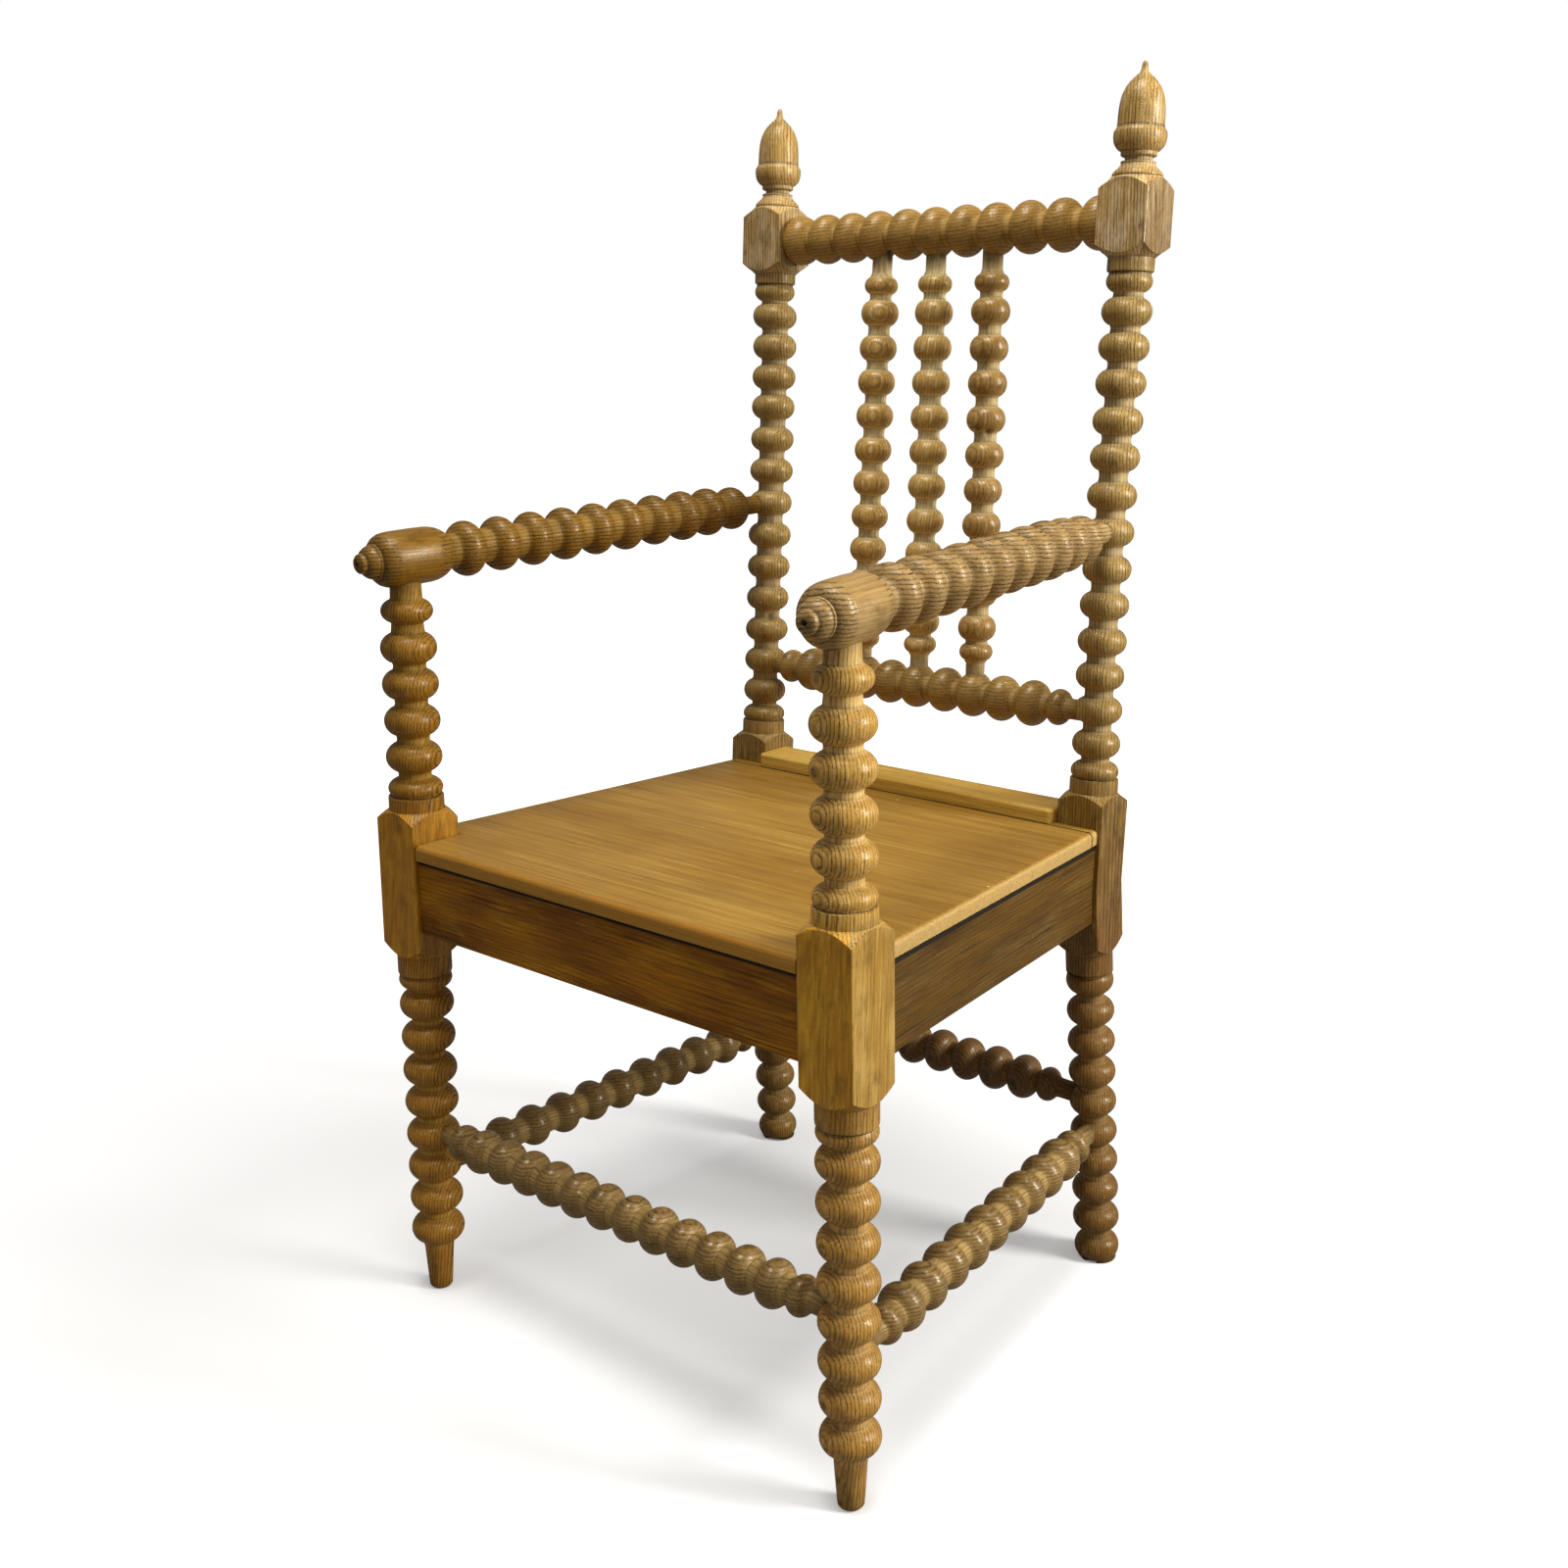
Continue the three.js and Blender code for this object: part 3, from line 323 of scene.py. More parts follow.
def grid_mesh(name, points):
    """A closed skin over a stack of rings; points is rings x columns x 3."""
    rings, columns, _ = points.shape
    faces = []
    for low in range(0, (rings - 1) * columns, columns):
        for j in range(columns):
            k = (j + 1) % columns
            faces.append((low + j, low + k, low + columns + k, low + columns + j))
    faces.append(tuple(range(columns - 1, -1, -1)))
    faces.append(tuple(range((rings - 1) * columns, rings * columns)))
    mesh = bpy.data.meshes.new(name)
    mesh.from_pydata(points.reshape(-1, 3).tolist(), [], faces)
    mesh.update()
    smooth(mesh, TURNED_SHARP)
    return mesh


# Out of round and wander as shares of the radius, and the wander's length
SHRINK_SHARE = 0.006
WANDER_SHARE = 0.003
WANDER_LENGTH = 61


def oval(angles, along, seed):
    """Old turned work shrinks out of round by a hair, and the tool leaves a slow wander."""
    pick = random.Random(seed)
    turn = pick.uniform(0, math.pi)
    wander = WANDER_SHARE * np.sin(along / WANDER_LENGTH + pick.uniform(0, 6))
    shrunk = SHRINK_SHARE * (1 - np.cos(2 * (angles - turn))) / 2
    return 1 - shrunk - WANDER_SHARE + np.minimum(wander, 0)


def turned_points(rows, seed):
    angles = np.arange(COLUMNS) * 2 * math.pi / COLUMNS
    points = []
    for along, radius, _, _ in rows:
        r = radius * oval(angles, along, seed)
        points.append(np.stack([r * np.cos(angles), r * np.sin(angles), np.full(COLUMNS, along)], axis=1))
    return np.array(points)


def dented(points, dark, dents):
    """Pushes the skin in around each dent, as a knock or a lost chip does, and darkens it."""
    flat = points.reshape(-1, 3)
    for along, turn, radius, depth in dents:
        nearest = np.argmin(np.abs(points[:, 0, 2] - along))
        size = np.linalg.norm(points[nearest, 0, :2])
        centre = np.array((size * math.cos(turn), size * math.sin(turn), along))
        share = np.clip(1 - np.linalg.norm(flat - centre, axis=1) / radius, 0, 1)
        inward = -flat[:, :2] / np.maximum(np.linalg.norm(flat[:, :2], axis=1, keepdims=True), 1e-6)
        flat[:, :2] += inward * (depth * share ** 0.5)[:, None]
        dark = np.maximum(dark, np.clip(1.6 * share, 0, 1))
    return flat.reshape(points.shape), dark


def skin(name, rows, points, matrix, seed, heart, tone_and_shade=PLAIN, dents=(), faces=()):
    count = points.shape[1]
    hollow = np.repeat([row[2] for row in rows], count)
    dark = np.repeat([row[3] for row in rows], count)
    points, dark = dented(points, dark, dents)
    grain = grain_of(points.reshape(-1, 3), across_stick(matrix, heart, seed), seed)
    mesh = grid_mesh(name, points)
    return finish_mesh(name, mesh, matrix, grain, dict(hollow=hollow, dark=dark), tone_and_shade, faces)


def turned_piece(name, outline, start, end, seed, heart, tone_and_shade=PLAIN, dents=()):
    points = turned_points(outline.rows, seed)
    return skin(name, outline.rows, points, frame_between(start, end), seed, heart, tone_and_shade, dents)


# Square blocks with turned shoulders

# A block's calm is stored as a hollow below zero: its flat faces show more figure and fewer open pores

def block_angles(flat=38, corner_columns=6, flat_columns=17):
    """Columns crowd at the square's corners, so that the eased edges are round."""
    corner, side = np.linspace(flat, 45, corner_columns), np.linspace(-flat, flat, flat_columns)
    quarter = np.concatenate([-corner[:0:-1], side[:-1], corner[:-1]])
    return np.radians(np.concatenate([quarter + 90 * k for k in range(4)]))


ANGLES = block_angles()

# How deep a shoulder's cove is as a share of its rise, and how wide the line between two faces' painted
# light is
COVE_SHARE = 0.06
FACE_EDGE = 0.06
SHOULDER_STEPS = 5

# The collar's ring stands so far off the shoulder, and a block's flat rings so far off its edges
COLLAR_STEP = 0.5
EDGE_STEP = 3


def square_radius(stock):
    """Distance from the axis to a square's side, with its corners eased."""
    c, s = np.abs(np.cos(ANGLES)), np.abs(np.sin(ANGLES))
    half = stock / 2
    side = half / np.maximum(c, s)
    inner = half - CORNER
    along = inner * (c + s)
    gap = along ** 2 - (2 * inner ** 2 - CORNER ** 2)
    arc = along + np.sqrt(np.maximum(gap, 0))
    return np.where(np.minimum(c, s) * side > inner, arc, side)


def shoulder_rows(block, collar, edge, rise):
    """Rings of a shallow cove, from the square's corners at height edge to the collar at edge + rise."""
    side = square_radius(block.stock)
    corner = block.stock / math.sqrt(2) - CORNER * (math.sqrt(2) - 1)
    reach = corner - collar / 2
    share = np.clip((side - collar / 2) / reach, 0, 1)
    rows = [(side, edge + rise * (1 - share), -block.calm, 0.0)]
    for i in range(1, SHOULDER_STEPS + 1):
        part = i / SHOULDER_STEPS
        at_collar = i == SHOULDER_STEPS
        radius = side + (collar / 2 - side) * part
        inner = np.clip((radius - collar / 2) / reach, 0, 1)
        sag = COVE_SHARE * rise * np.sin(math.pi * inner)
        height = edge + rise * (1 - inner) - (0 if at_collar else sag)
        rows.append((radius, height, 0.25 + 0.3 * part, 0.6 if at_collar else 0.0))
    return rows


def square_rows(block, *heights):
    side = square_radius(block.stock)
    return [(side, np.full(len(ANGLES), z), -block.calm, 0.0) for z in heights]


def round_rows(rows):
    one = np.ones(len(ANGLES))
    return [(radius * one, along * one, hollow, dark) for along, radius, hollow, dark in rows]


def up_to_block(outline, block, edge, shoulder):
    """An outline's rings, its collar, and the lower shoulder of the block above it."""
    outline.add(edge - shoulder - COLLAR_STEP, block.collar / 2, 0.2, 0.1)
    return round_rows(outline.rows) + shoulder_rows(block, block.collar, edge, -shoulder)[::-1]


def rows_to_points(rows):
    c, s = np.cos(ANGLES), np.sin(ANGLES)
    return np.array([np.stack([r * c, r * s, z], axis=1) for r, z, _, _ in rows])


def on_axis(rows, line):
    """Heights above the floor become places along a leaning axis."""
    k = (line[1] - line[0]).length / (line[1].z - line[0].z)
    return [(r, (z - line[0].z) * k, hollow, dark) for r, z, hollow, dark in rows]


def painted_face_light(rings, *blocks):
    """Rows for tint_of that paint light and shade on a block's faces; a block is its lowest and highest
    place, and factors of its front and left side.
    """
    c, s = np.cos(ANGLES), np.sin(ANGLES)
    shares = [np.tile(np.clip(inside / FACE_EDGE + 0.5, 0, 1), rings)
              for inside in (-s - np.abs(c), c - np.abs(s))]
    return [(low, high, share, factors)
            for low, high, pair in blocks for share, factors in zip(shares, pair)]


# Half bead and V groove beside a block's collar: the bead's reach, where it meets the neck, and the turns
# of the ellipse that it is part of
HALF_BEAD_REACH = 9.6
HALF_BEAD_END = 11.4
HALF_BEAD_TURNS = np.radians(np.linspace(-31, 78, 10))


def collar_rows(outline, middle, way, post):
    """Half bead and V groove beside a collar; way is 1 above the block and -1 below it."""
    near = middle - way * post.bead_half
    full = post.bead / 2
    core = BELLY_CORE * full
    bead = []
    for t in HALF_BEAD_TURNS:
        radius = max(core + (full - core) * math.cos(t), post.neck / 2)
        hollow = ((full - radius) / (full - post.neck / 2)) ** 2
        bead.append((middle + way * HALF_BEAD_REACH * math.sin(t), radius, hollow, 0.0))
    bead.append((middle + way * HALF_BEAD_END, post.neck / 2, 1.0, 0.15))
    collar, width = post.collar / 2, post.groove
    groove = [(near - way * (width + 1.2), collar, 0.2, 0.0),
              (near - way * width, collar - 0.2, 0.2, 0.2),
              (near - way * width * 0.5, collar - post.depth, 0.6, 0.9),
              (near - way * width * 0.2, collar - post.depth * 0.9, 0.6, 0.8)]
    rows = groove + bead
    outline.rows.extend(rows if way > 0 else rows[::-1])


# Front posts

FRONT = SimpleNamespace(
    edge_top=466.7, edge_low=350.7, top_shoulder=9, low_shoulder=10.4, collar=48.5, top_collar=11.4,
    low_collar=18.3, groove=2.2, depth=2.4, bead=47.8, bobbin=49.2, neck=28.8, bead_half=5, belly=13.4,
    stock=FRONT_STOCK, calm=1)
TOP_BEAD = FRONT.edge_top + FRONT.top_shoulder + FRONT.top_collar + FRONT.groove + FRONT.bead_half
LOW_BEAD = FRONT.edge_low - FRONT.low_shoulder - FRONT.low_collar - FRONT.groove - FRONT.bead_half
FRONT_FIRST = 61.5
FRONT_LAST = LOW_BEAD - 24.1
FOOT_PEG = ring_rows(
    (0, 8.2, 0.2, 0.8), (0.9, 9.4, 0.2, 0.7), (2.6, 10.7, 0.2, 0.5), (12, 11.4, 0.2, 0.2),
    (28, 12.5, 0.2), (42, 13.4, 0.3))

# Under the arm: its lower side below its axis, and the small bead there
ARM_UNDERSIDE = 24
ARM_BEAD = SimpleNamespace(drop=21.3, size=44.8, neck=27.4, belly=10.5, gap=31.8)


def front_low(hand):
    return places(FRONT_FIRST + hand.leg_lift, FRONT_LAST, 8)


def front_low_rows(hand, seed):
    low = Outline(seed)
    low.rows.extend(FOOT_PEG)
    low.bobbins(front_low(hand), tapering(8, FRONT.bobbin), FRONT.neck, FRONT.belly)
    collar_rows(low, LOW_BEAD, -1, FRONT)
    return up_to_block(low, FRONT, FRONT.edge_low, FRONT.low_shoulder)


def front_top_rows(hand, seed):
    top = Outline(seed + 90)
    top.add(FRONT.edge_top + FRONT.top_shoulder + COLLAR_STEP, FRONT.collar / 2, 0.2, 0.1)
    collar_rows(top, TOP_BEAD, 1, FRONT)
    underside = hand.arm_front - ARM_UNDERSIDE
    bead = underside - ARM_BEAD.drop
    run = places(TOP_BEAD + 28.3, bead - ARM_BEAD.gap, 4)
    top.bobbins(run, tapering(4, FRONT.bobbin), FRONT.neck, FRONT.belly)
    top.add(bead - 15.5, 14.2, 1.0)
    top.belly(bead, ARM_BEAD.size, ARM_BEAD.neck, ARM_BEAD.belly)
    top.add(underside - 2, 13.5, 0.9, 0.3)
    top.add(underside + 14, 13.4, 0.9, 1.0)
    shoulder = shoulder_rows(FRONT, FRONT.collar, FRONT.edge_top, FRONT.top_shoulder)
    return shoulder + round_rows(top.rows)


def front_post(hand, seed, heart):
    line = front_axis(hand)
    flat = square_rows(FRONT, FRONT.edge_low + EDGE_STEP, 408, FRONT.edge_top - EDGE_STEP)
    rows = on_axis(front_low_rows(hand, seed) + flat + front_top_rows(hand, seed), line)
    points = rows_to_points(rows)
    tone_and_shade = [(z, *(a * b for a, b in zip(tint, hand.post_tints[i // 2])))
              for i, (z, *tint) in enumerate(FRONT_TONE_AND_SHADE)]
    # Painted light and shade on the seat block's front and left faces
    block = (FRONT.edge_low - 16, FRONT.edge_top + 14, hand.front_faces)
    faces = painted_face_light(len(points), block)
    name = f"front_post_{hand.name}"
    piece = skin(f"turned_{name}", rows, points, frame_between(*line), seed, heart, tone_and_shade, (), faces)
    keep(piece, "oak_post", name)


# Back posts

BACK = SimpleNamespace(
    edge_top=470, edge_low=337.8, top_shoulder=8, low_shoulder=11, collar=43.5, top_collar=12.4,
    low_collar=19, groove=2, depth=2.2, bead=43, bobbin=43.6, neck=25.6, bead_half=4.75, belly=12.2,
    low_belly=12.6, stock=BACK_STOCK, calm=0.5)
CREST_BLOCK = SimpleNamespace(
    shoulder=10, top_collar=43, collar=40, groove=2, depth=2.2, bead=39.6, neck=25.6, bead_half=6,
    stock=CREST_STOCK, calm=0.5)
BACK_BEAD = BACK.edge_top + BACK.top_shoulder + BACK.top_collar + BACK.groove + BACK.bead_half
CREST_EDGE = CREST - 19
CREST_BEAD = CREST_EDGE - 23.2 - CREST_BLOCK.bead_half
BACK_COUNT = 13
BACK_FIRST = BACK_BEAD + 24.7
BACK_LAST = CREST_BEAD - 23
BACK_WAVE = -1.5
BACK_COLLAR_FOOT = BACK.edge_low - BACK.low_shoulder - BACK.low_collar
BACK_FOOT = (0, 18.2, 0.2, 0.7)
BACK_FOOT_SIZE = 42.8
BACK_LOW = places(12.8, BACK_COLLAR_FOOT - 11.5, 10)
LOWER_RAIL_HEIGHT = BACK_FIRST + (BACK_LAST - BACK_FIRST) / (BACK_COUNT - 1) - 3.6


def back_lower_rows(hand, seed):
    low = Outline(seed)
    low.bobbins(BACK_LOW, [BACK_FOOT_SIZE] + [hand.leg_size] * 9, BACK.neck, BACK.low_belly)
    low.rows = [BACK_FOOT] + [row for row in low.rows if row[0] > 0.5]
    low.groove(BACK_COLLAR_FOOT - 1.1, BACK.collar / 2, BACK.depth, BACK.groove)
    rows = up_to_block(low, BACK, BACK.edge_low, BACK.low_shoulder)
    return rows + square_rows(BACK, BACK.edge_low + EDGE_STEP)


def back_upper_rows(hand, seed):
    top = Outline(seed + 40)
    top.add(BACK.edge_top + BACK.top_shoulder + COLLAR_STEP, BACK.collar / 2, 0.2, 0.1)
    collar_rows(top, BACK_BEAD, 1, BACK)
    run = places(BACK_FIRST, BACK_LAST, BACK_COUNT, hand.drift, BACK_WAVE)
    run[-1] += hand.last_bobbin
    top.bobbins(run, tapering(BACK_COUNT, BACK.bobbin), BACK.neck, BACK.belly)
    top.add((BACK_LAST + CREST_BEAD) / 2, BACK.neck / 2, 1.0)
    collar_rows(top, CREST_BEAD, -1, CREST_BLOCK)
    crest_edge, crest_top = CREST_EDGE - hand.crest_sag, CREST + hand.crest_above
    rows = square_rows(BACK, BACK.edge_top - EDGE_STEP)
    rows += shoulder_rows(BACK, BACK.collar, BACK.edge_top, BACK.top_shoulder)
    rows += up_to_block(top, CREST_BLOCK, crest_edge, CREST_BLOCK.shoulder)
    rows += square_rows(CREST_BLOCK, crest_edge + EDGE_STEP, crest_top - EDGE_STEP)
    return rows + shoulder_rows(CREST_BLOCK, CREST_BLOCK.top_collar, crest_top, CREST_BLOCK.shoulder)


# Where the bow of a back post begins and its length, and the same of the step aside at its top
BOW_START, BOW_LENGTH = 75, 480
SHIFT_START, SHIFT_LENGTH = 480, 50


def bowed(points, hand):
    """A back post's upper run is a little bent, and its top stands a little aside."""
    along = points[:, :, 2]
    share = np.clip((along - BOW_START) / BOW_LENGTH, 0, 1)
    rise = np.clip((along - SHIFT_START) / SHIFT_LENGTH, 0, 1)
    points[:, :, 0] += hand.bow * np.sin(math.pi * share) + hand.top_shift * rise * rise * (3 - 2 * rise)
    return points


def slope_of(line):
    """Lean of a back post's axis in side view, away from upright."""
    way = line[1] - line[0]
    return math.atan2(abs(way.y), way.z)


def bend_ring(lower_line, upper_line):
    """The ring where the two axes meet, on the plane that halves their angle."""
    side = square_radius(BACK_STOCK)
    tilt = math.tan((slope_of(upper_line) + slope_of(lower_line)) / 2)
    across = side * np.sin(ANGLES)
    return np.stack([side * np.cos(ANGLES), across, across * tilt], axis=1)


def back_post_tone_and_shade(hand):
    # The legs' rows take the side's extra painted shade
    legs = [(z, *(a * b for a, b in zip(tint, hand.leg_tint))) for z, *tint in BACK_TONE_AND_SHADE[:2]]
    return legs + list(BACK_TONE_AND_SHADE[2:])


def back_post(hand, seed, heart, dents=()):
    """Two straight axes that meet at the bend in the seat block, in one skin."""
    lower_line, upper_line = back_lower(hand), back_upper(hand)
    under = on_axis(back_lower_rows(hand, seed), lower_line)
    over = on_axis(back_upper_rows(hand, seed), upper_line)
    local = frame_between(*upper_line)
    down = local.inverted() @ frame_between(*lower_line)
    low_points = rows_to_points(under) @ np.array(down.to_3x3()).T + np.array(down.translation)
    high_points = bowed(rows_to_points(over), hand)
    points = np.concatenate([low_points, bend_ring(lower_line, upper_line)[None], high_points])
    bend = (None, None, -0.5, 0.0)
    # Painted light and shade on the faces of the seat block and the crest block
    seat_block = (BACK.edge_low - 16, BACK.edge_top + 14, hand.back_faces)
    crest_block = (CREST_EDGE - 14, CREST + hand.crest_above + 12, hand.crest_faces)
    faces = painted_face_light(len(points), seat_block, crest_block)
    name = f"back_post_{hand.name}"
    piece = skin(f"turned_{name}", under + [bend] + over, points, local, seed, heart,
                 back_post_tone_and_shade(hand), dents, faces)
    keep(piece, "oak_post", name)


# Finials

FINIAL_BELL = ring_rows(
    (0, 21.2, 0.2, 0.6), (0.5, 21.5, 0.1, 0.2), (1.6, 21.4), (3.4, 20.4, 0.1), (5.2, 18.4, 0.3),
    (7.2, 16.2, 0.6), (9.4, 14.6, 0.9, 0.1), (10.4, 14.5, 0.9, 0.4), (10.8, 14.9, 0.5), (11.7, 14.9, 0.5))
FINIAL_NECK = ring_rows(
    (12.1, 14.4, 0.6, 0.4), (12.6, 12, 0.9, 0.8), (13.6, 11.5, 1, 0.3), (15.2, 11.7, 1, 0.4),
    (15.9, 13.6, 0.7, 0.5), (16.7, 15.1, 0.4, 0.1), (18.2, 15.4, 0.4), (19.6, 15.3, 0.6, 0.4))
FINIAL_CUP = ring_rows(
    (20.1, 15.6, 0.7, 0.7), (21.2, 17.6, 0.4, 0.2), (23.2, 19.6, 0.2), (25.6, 21.2, 0.1), (28.2, 22),
    (31.2, 22.4), (34.2, 22.4), (35.6, 22.2), (37, 21.4, 0.2), (38.6, 20.3, 0.6, 0.5),
    (39.8, 19.9, 0.7, 0.9))
FINIAL_NUT = ring_rows(
    (41.5, 19.8, 0.2, 0.1), (46, 19.7), (50, 19.6), (54, 19.3), (58, 18.9), (62, 18.2), (65.5, 17.2),
    (69, 15.7), (72, 14), (75, 11.8), (77.4, 9.6), (79.6, 7.2, 0.1))
FINIAL_TIP = ring_rows(
    (81.4, 5.2, 0.3), (82.8, 3.9, 0.5, 0.1), (84.2, 3.2, 0.6, 0.2), (86, 2.9, 0.4), (88.4, 2.6, 0.1),
    (90, 2.2), (91.2, 1.5), (91.7, 0.5, 0, 0.2))
FINIAL_RISE = 10.3


def finial(hand, seed, heart):
    line = back_upper(hand)
    base = at_height(line, CREST + hand.crest_above + FINIAL_RISE)
    base.x += hand.top_shift
    outline = Outline(seed)
    outline.rows = FINIAL_BELL + FINIAL_NECK + FINIAL_CUP + FINIAL_NUT + FINIAL_TIP
    end = base + (line[1] - line[0])
    piece = turned_piece(f"acorn_{hand.name}", outline, base, end, seed, heart, BACK_TONE_AND_SHADE)
    keep(piece, "oak_post", f"acorn_finial_{hand.name}")


# Arms: the knob, ring and barrel stand over the front post

ARM_KNOB = ring_rows(
    (-43.4, 1, 0.3, 1), (-45.4, 2, 0.3, 1), (-46.3, 2.9, 0.3, 0.5), (-46, 4.6, 0.2, 0.2),
    (-45.2, 6.8, 0.1, 0.2), (-43.8, 8.2), (-42, 8.6, 0, 0.1), (-40.6, 8.8, 0.3, 0.5),
    (-39.8, 9.8, 0.5, 0.7), (-38, 11.8, 0.1, 0.1), (-35.6, 13.4), (-32.8, 14.4), (-31.2, 14.6, 0.4, 0.6))
ARM_RING = ring_rows(
    (-30.7, 14.4, 0.6, 0.8), (-30.4, 14.9, 1), (-29.4, 15.4, 1), (-28.9, 15.3, 0.7, 0.4))
ARM_BARREL = ring_rows(
    (-28.5, 16.4, 0.1, 0.3), (-26.6, 19.2), (-24, 21.4), (-20, 23), (-15, 23.7, -1), (-9, 24, -1),
    (0, 24.1, -1), (12, 24.1, -1), (22, 23.9, -1), (27, 23.3, -0.5), (31, 22.3), (35, 20.6, 0.1),
    (38.5, 18.4, 0.3), (40.8, 16.4, 0.6, 0.2), (42, 15.3, 0.9, 0.5), (43.2, 15, 1, 0.3))

# The barrel's greatest size, and the radius about which it grows or shrinks with it
BARREL_SIZE = 48.2
BARREL_CORE = 15

# The first bobbin of an arm, and the last two, which are smaller and stand closer
ARM_FIRST = 62
ARM_CLOSE_PITCH = 32.4
ARM_CLOSE_SIZES = (46.4, 42)


def arm(hand, seed, heart):
    start = front_axis(hand)[1]
    end = at_height(back_upper(hand), hand.arm_back)
    length = (end - start).length
    last = length - hand.arm_last
    close = [last - ARM_CLOSE_PITCH, last]
    grow = hand.barrel / BARREL_SIZE
    outline = Outline(seed)
    outline.rows.extend(ARM_KNOB + ARM_RING)
    outline.rows.extend((z, BARREL_CORE + (r - BARREL_CORE) * grow, hollow, dark)
                        for z, r, hollow, dark in ARM_BARREL)
    run = places(ARM_FIRST, close[0] - ARM_CLOSE_PITCH, 8)
    outline.bobbins(run, tapering(8, *hand.arm_sizes), 31, 13)
    outline.add(close[0] - ARM_CLOSE_PITCH / 2, 15, 1)
    outline.bobbins(close, ARM_CLOSE_SIZES, 29, 12.8)
    outline.add(last + 14.6, 10, 1, 0.3)
    outline.add(last + 17, 9.2, 0.8, 0.2)
    outline.add(length - 24, 9.1, 0.8)
    outline.add(length - 19, 9, 0.5, 0.8)
    outline.add(length - 10, 9, 0.5, 0.9)
    piece = turned_piece(f"turned_arm_{hand.name}", outline, start, end, seed, heart, hand.arm_patina)
    keep(piece, "oak_arm", f"arm_{hand.name}")


# Sticks from post to post: a run of bobbins between two small beads, each with a pin beyond it

END_BEAD = SimpleNamespace(size=34, belly=8.6, core_share=0.5, gap=28.4, to_pin=13, to_neck=14.2)


def stick(name, line, seed, slot, node, spec, heart, tone_and_shade=PLAIN, dents=(), wood=None):
    """A turned stick with a small bead and a pin at each end; spec holds its sizes."""
    start, end = line
    length = (end - start).length
    first, last = spec.first, length - spec.last
    near, far = first - END_BEAD.gap, last + END_BEAD.gap
    pin, neck = spec.pin / 2, spec.neck / 2
    bead = (END_BEAD.size, spec.pin + 1.6, END_BEAD.belly, END_BEAD.core_share)
    out = Outline(seed)
    out.add(spec.start, pin, 0.6, 0.9)
    out.add(near - END_BEAD.to_pin, pin, 0.8, 0.3)
    out.belly(near, *bead)
    out.add(near + END_BEAD.to_neck, neck, 1)
    out.bobbins(places(first, last, spec.count), tapering(spec.count, spec.size), spec.neck, spec.belly)
    out.add(far - END_BEAD.to_neck, neck, 1)
    out.belly(far, *bead)
    out.add(far + END_BEAD.to_pin, pin, 0.8, 0.3)
    out.add(length - spec.end, pin, 0.6, 0.9)
    keep(turned_piece(name, out, start, end, seed, heart, tone_and_shade, dents), slot, node, wood)


def between(left_line, right_line, height):
    return at_height(right_line, height), at_height(left_line, height)


# Where a pin starts, inside a front or a back post
FRONT_IN = FRONT.bobbin / 2 - 16
BACK_IN = BACK.bobbin / 2 - 16


def stick_sizes(count, size, neck, belly, first, last, start=BACK_IN, end=BACK_IN):
    """Sizes of a stick; first and last are its end bobbins' distances from the posts' axes."""
    return SimpleNamespace(count=count, size=size, neck=neck, belly=belly, first=first, last=last,
                           start=start, end=end, pin=19)


FRONT_STRETCHER = stick_sizes(12, 40.5, 26, 11.4, 73.1, 73.1, FRONT_IN, FRONT_IN)
BACK_STRETCHER = stick_sizes(9, 43.6, 24, 12.8, 64.6, 76.6)
SIDE_STRETCHER = stick_sizes(9, 40.8, 26, 12.8, 76.5, 76.5, FRONT_IN)
LOWER_RAIL = stick_sizes(9, 43.4, 24.6, 13, 65.8, 69.6)


def stretchers():
    """Each stretcher meets its posts at the middle of one of their bobbins."""
    line = between(front_axis(LEFT), front_axis(RIGHT), front_low(LEFT)[3] + 3)
    stick("turned_front_stretcher", line, 301, "oak_stretcher", "front_stretcher", FRONT_STRETCHER, BELOW)
    line = between(back_lower(LEFT), back_lower(RIGHT), BACK_LOW[5] + 2)
    stick("turned_back_stretcher", line, 302, "oak_stretcher", "back_stretcher", BACK_STRETCHER, BEFORE,
          ((0, 0.62, 0.5, 0.42),))
    for i, (hand, dents) in enumerate(((LEFT, ()), (RIGHT, ((300, 0.6, 7, 2.4),)))):
        front = at_height(front_axis(hand), front_low(hand)[2] + hand.stretcher_front)
        back = at_height(back_lower(hand), BACK_LOW[4] + hand.stretcher_back)
        name = f"side_stretcher_{hand.name}"
        stick(f"turned_{name}", (front, back), 303 + i, "oak_stretcher", name, SIDE_STRETCHER, BELOW,
              dents=dents)


def lower_back_rail():
    line = between(back_upper(LEFT), back_upper(RIGHT), LOWER_RAIL_HEIGHT)
    line[0].z += 1.4
    stick("turned_lower_rail", line, 311, "oak_back", "lower_back_rail", LOWER_RAIL, BELOW,
          ((0, 1.12, 1.14, 1.05),), wood="oak_crest")


CREST_RAIL = SimpleNamespace(count=11, size=46.4, neck=27.4, first=32.5, belly=13.6, drift=-5.5)
CREST_PINCH = 0.6


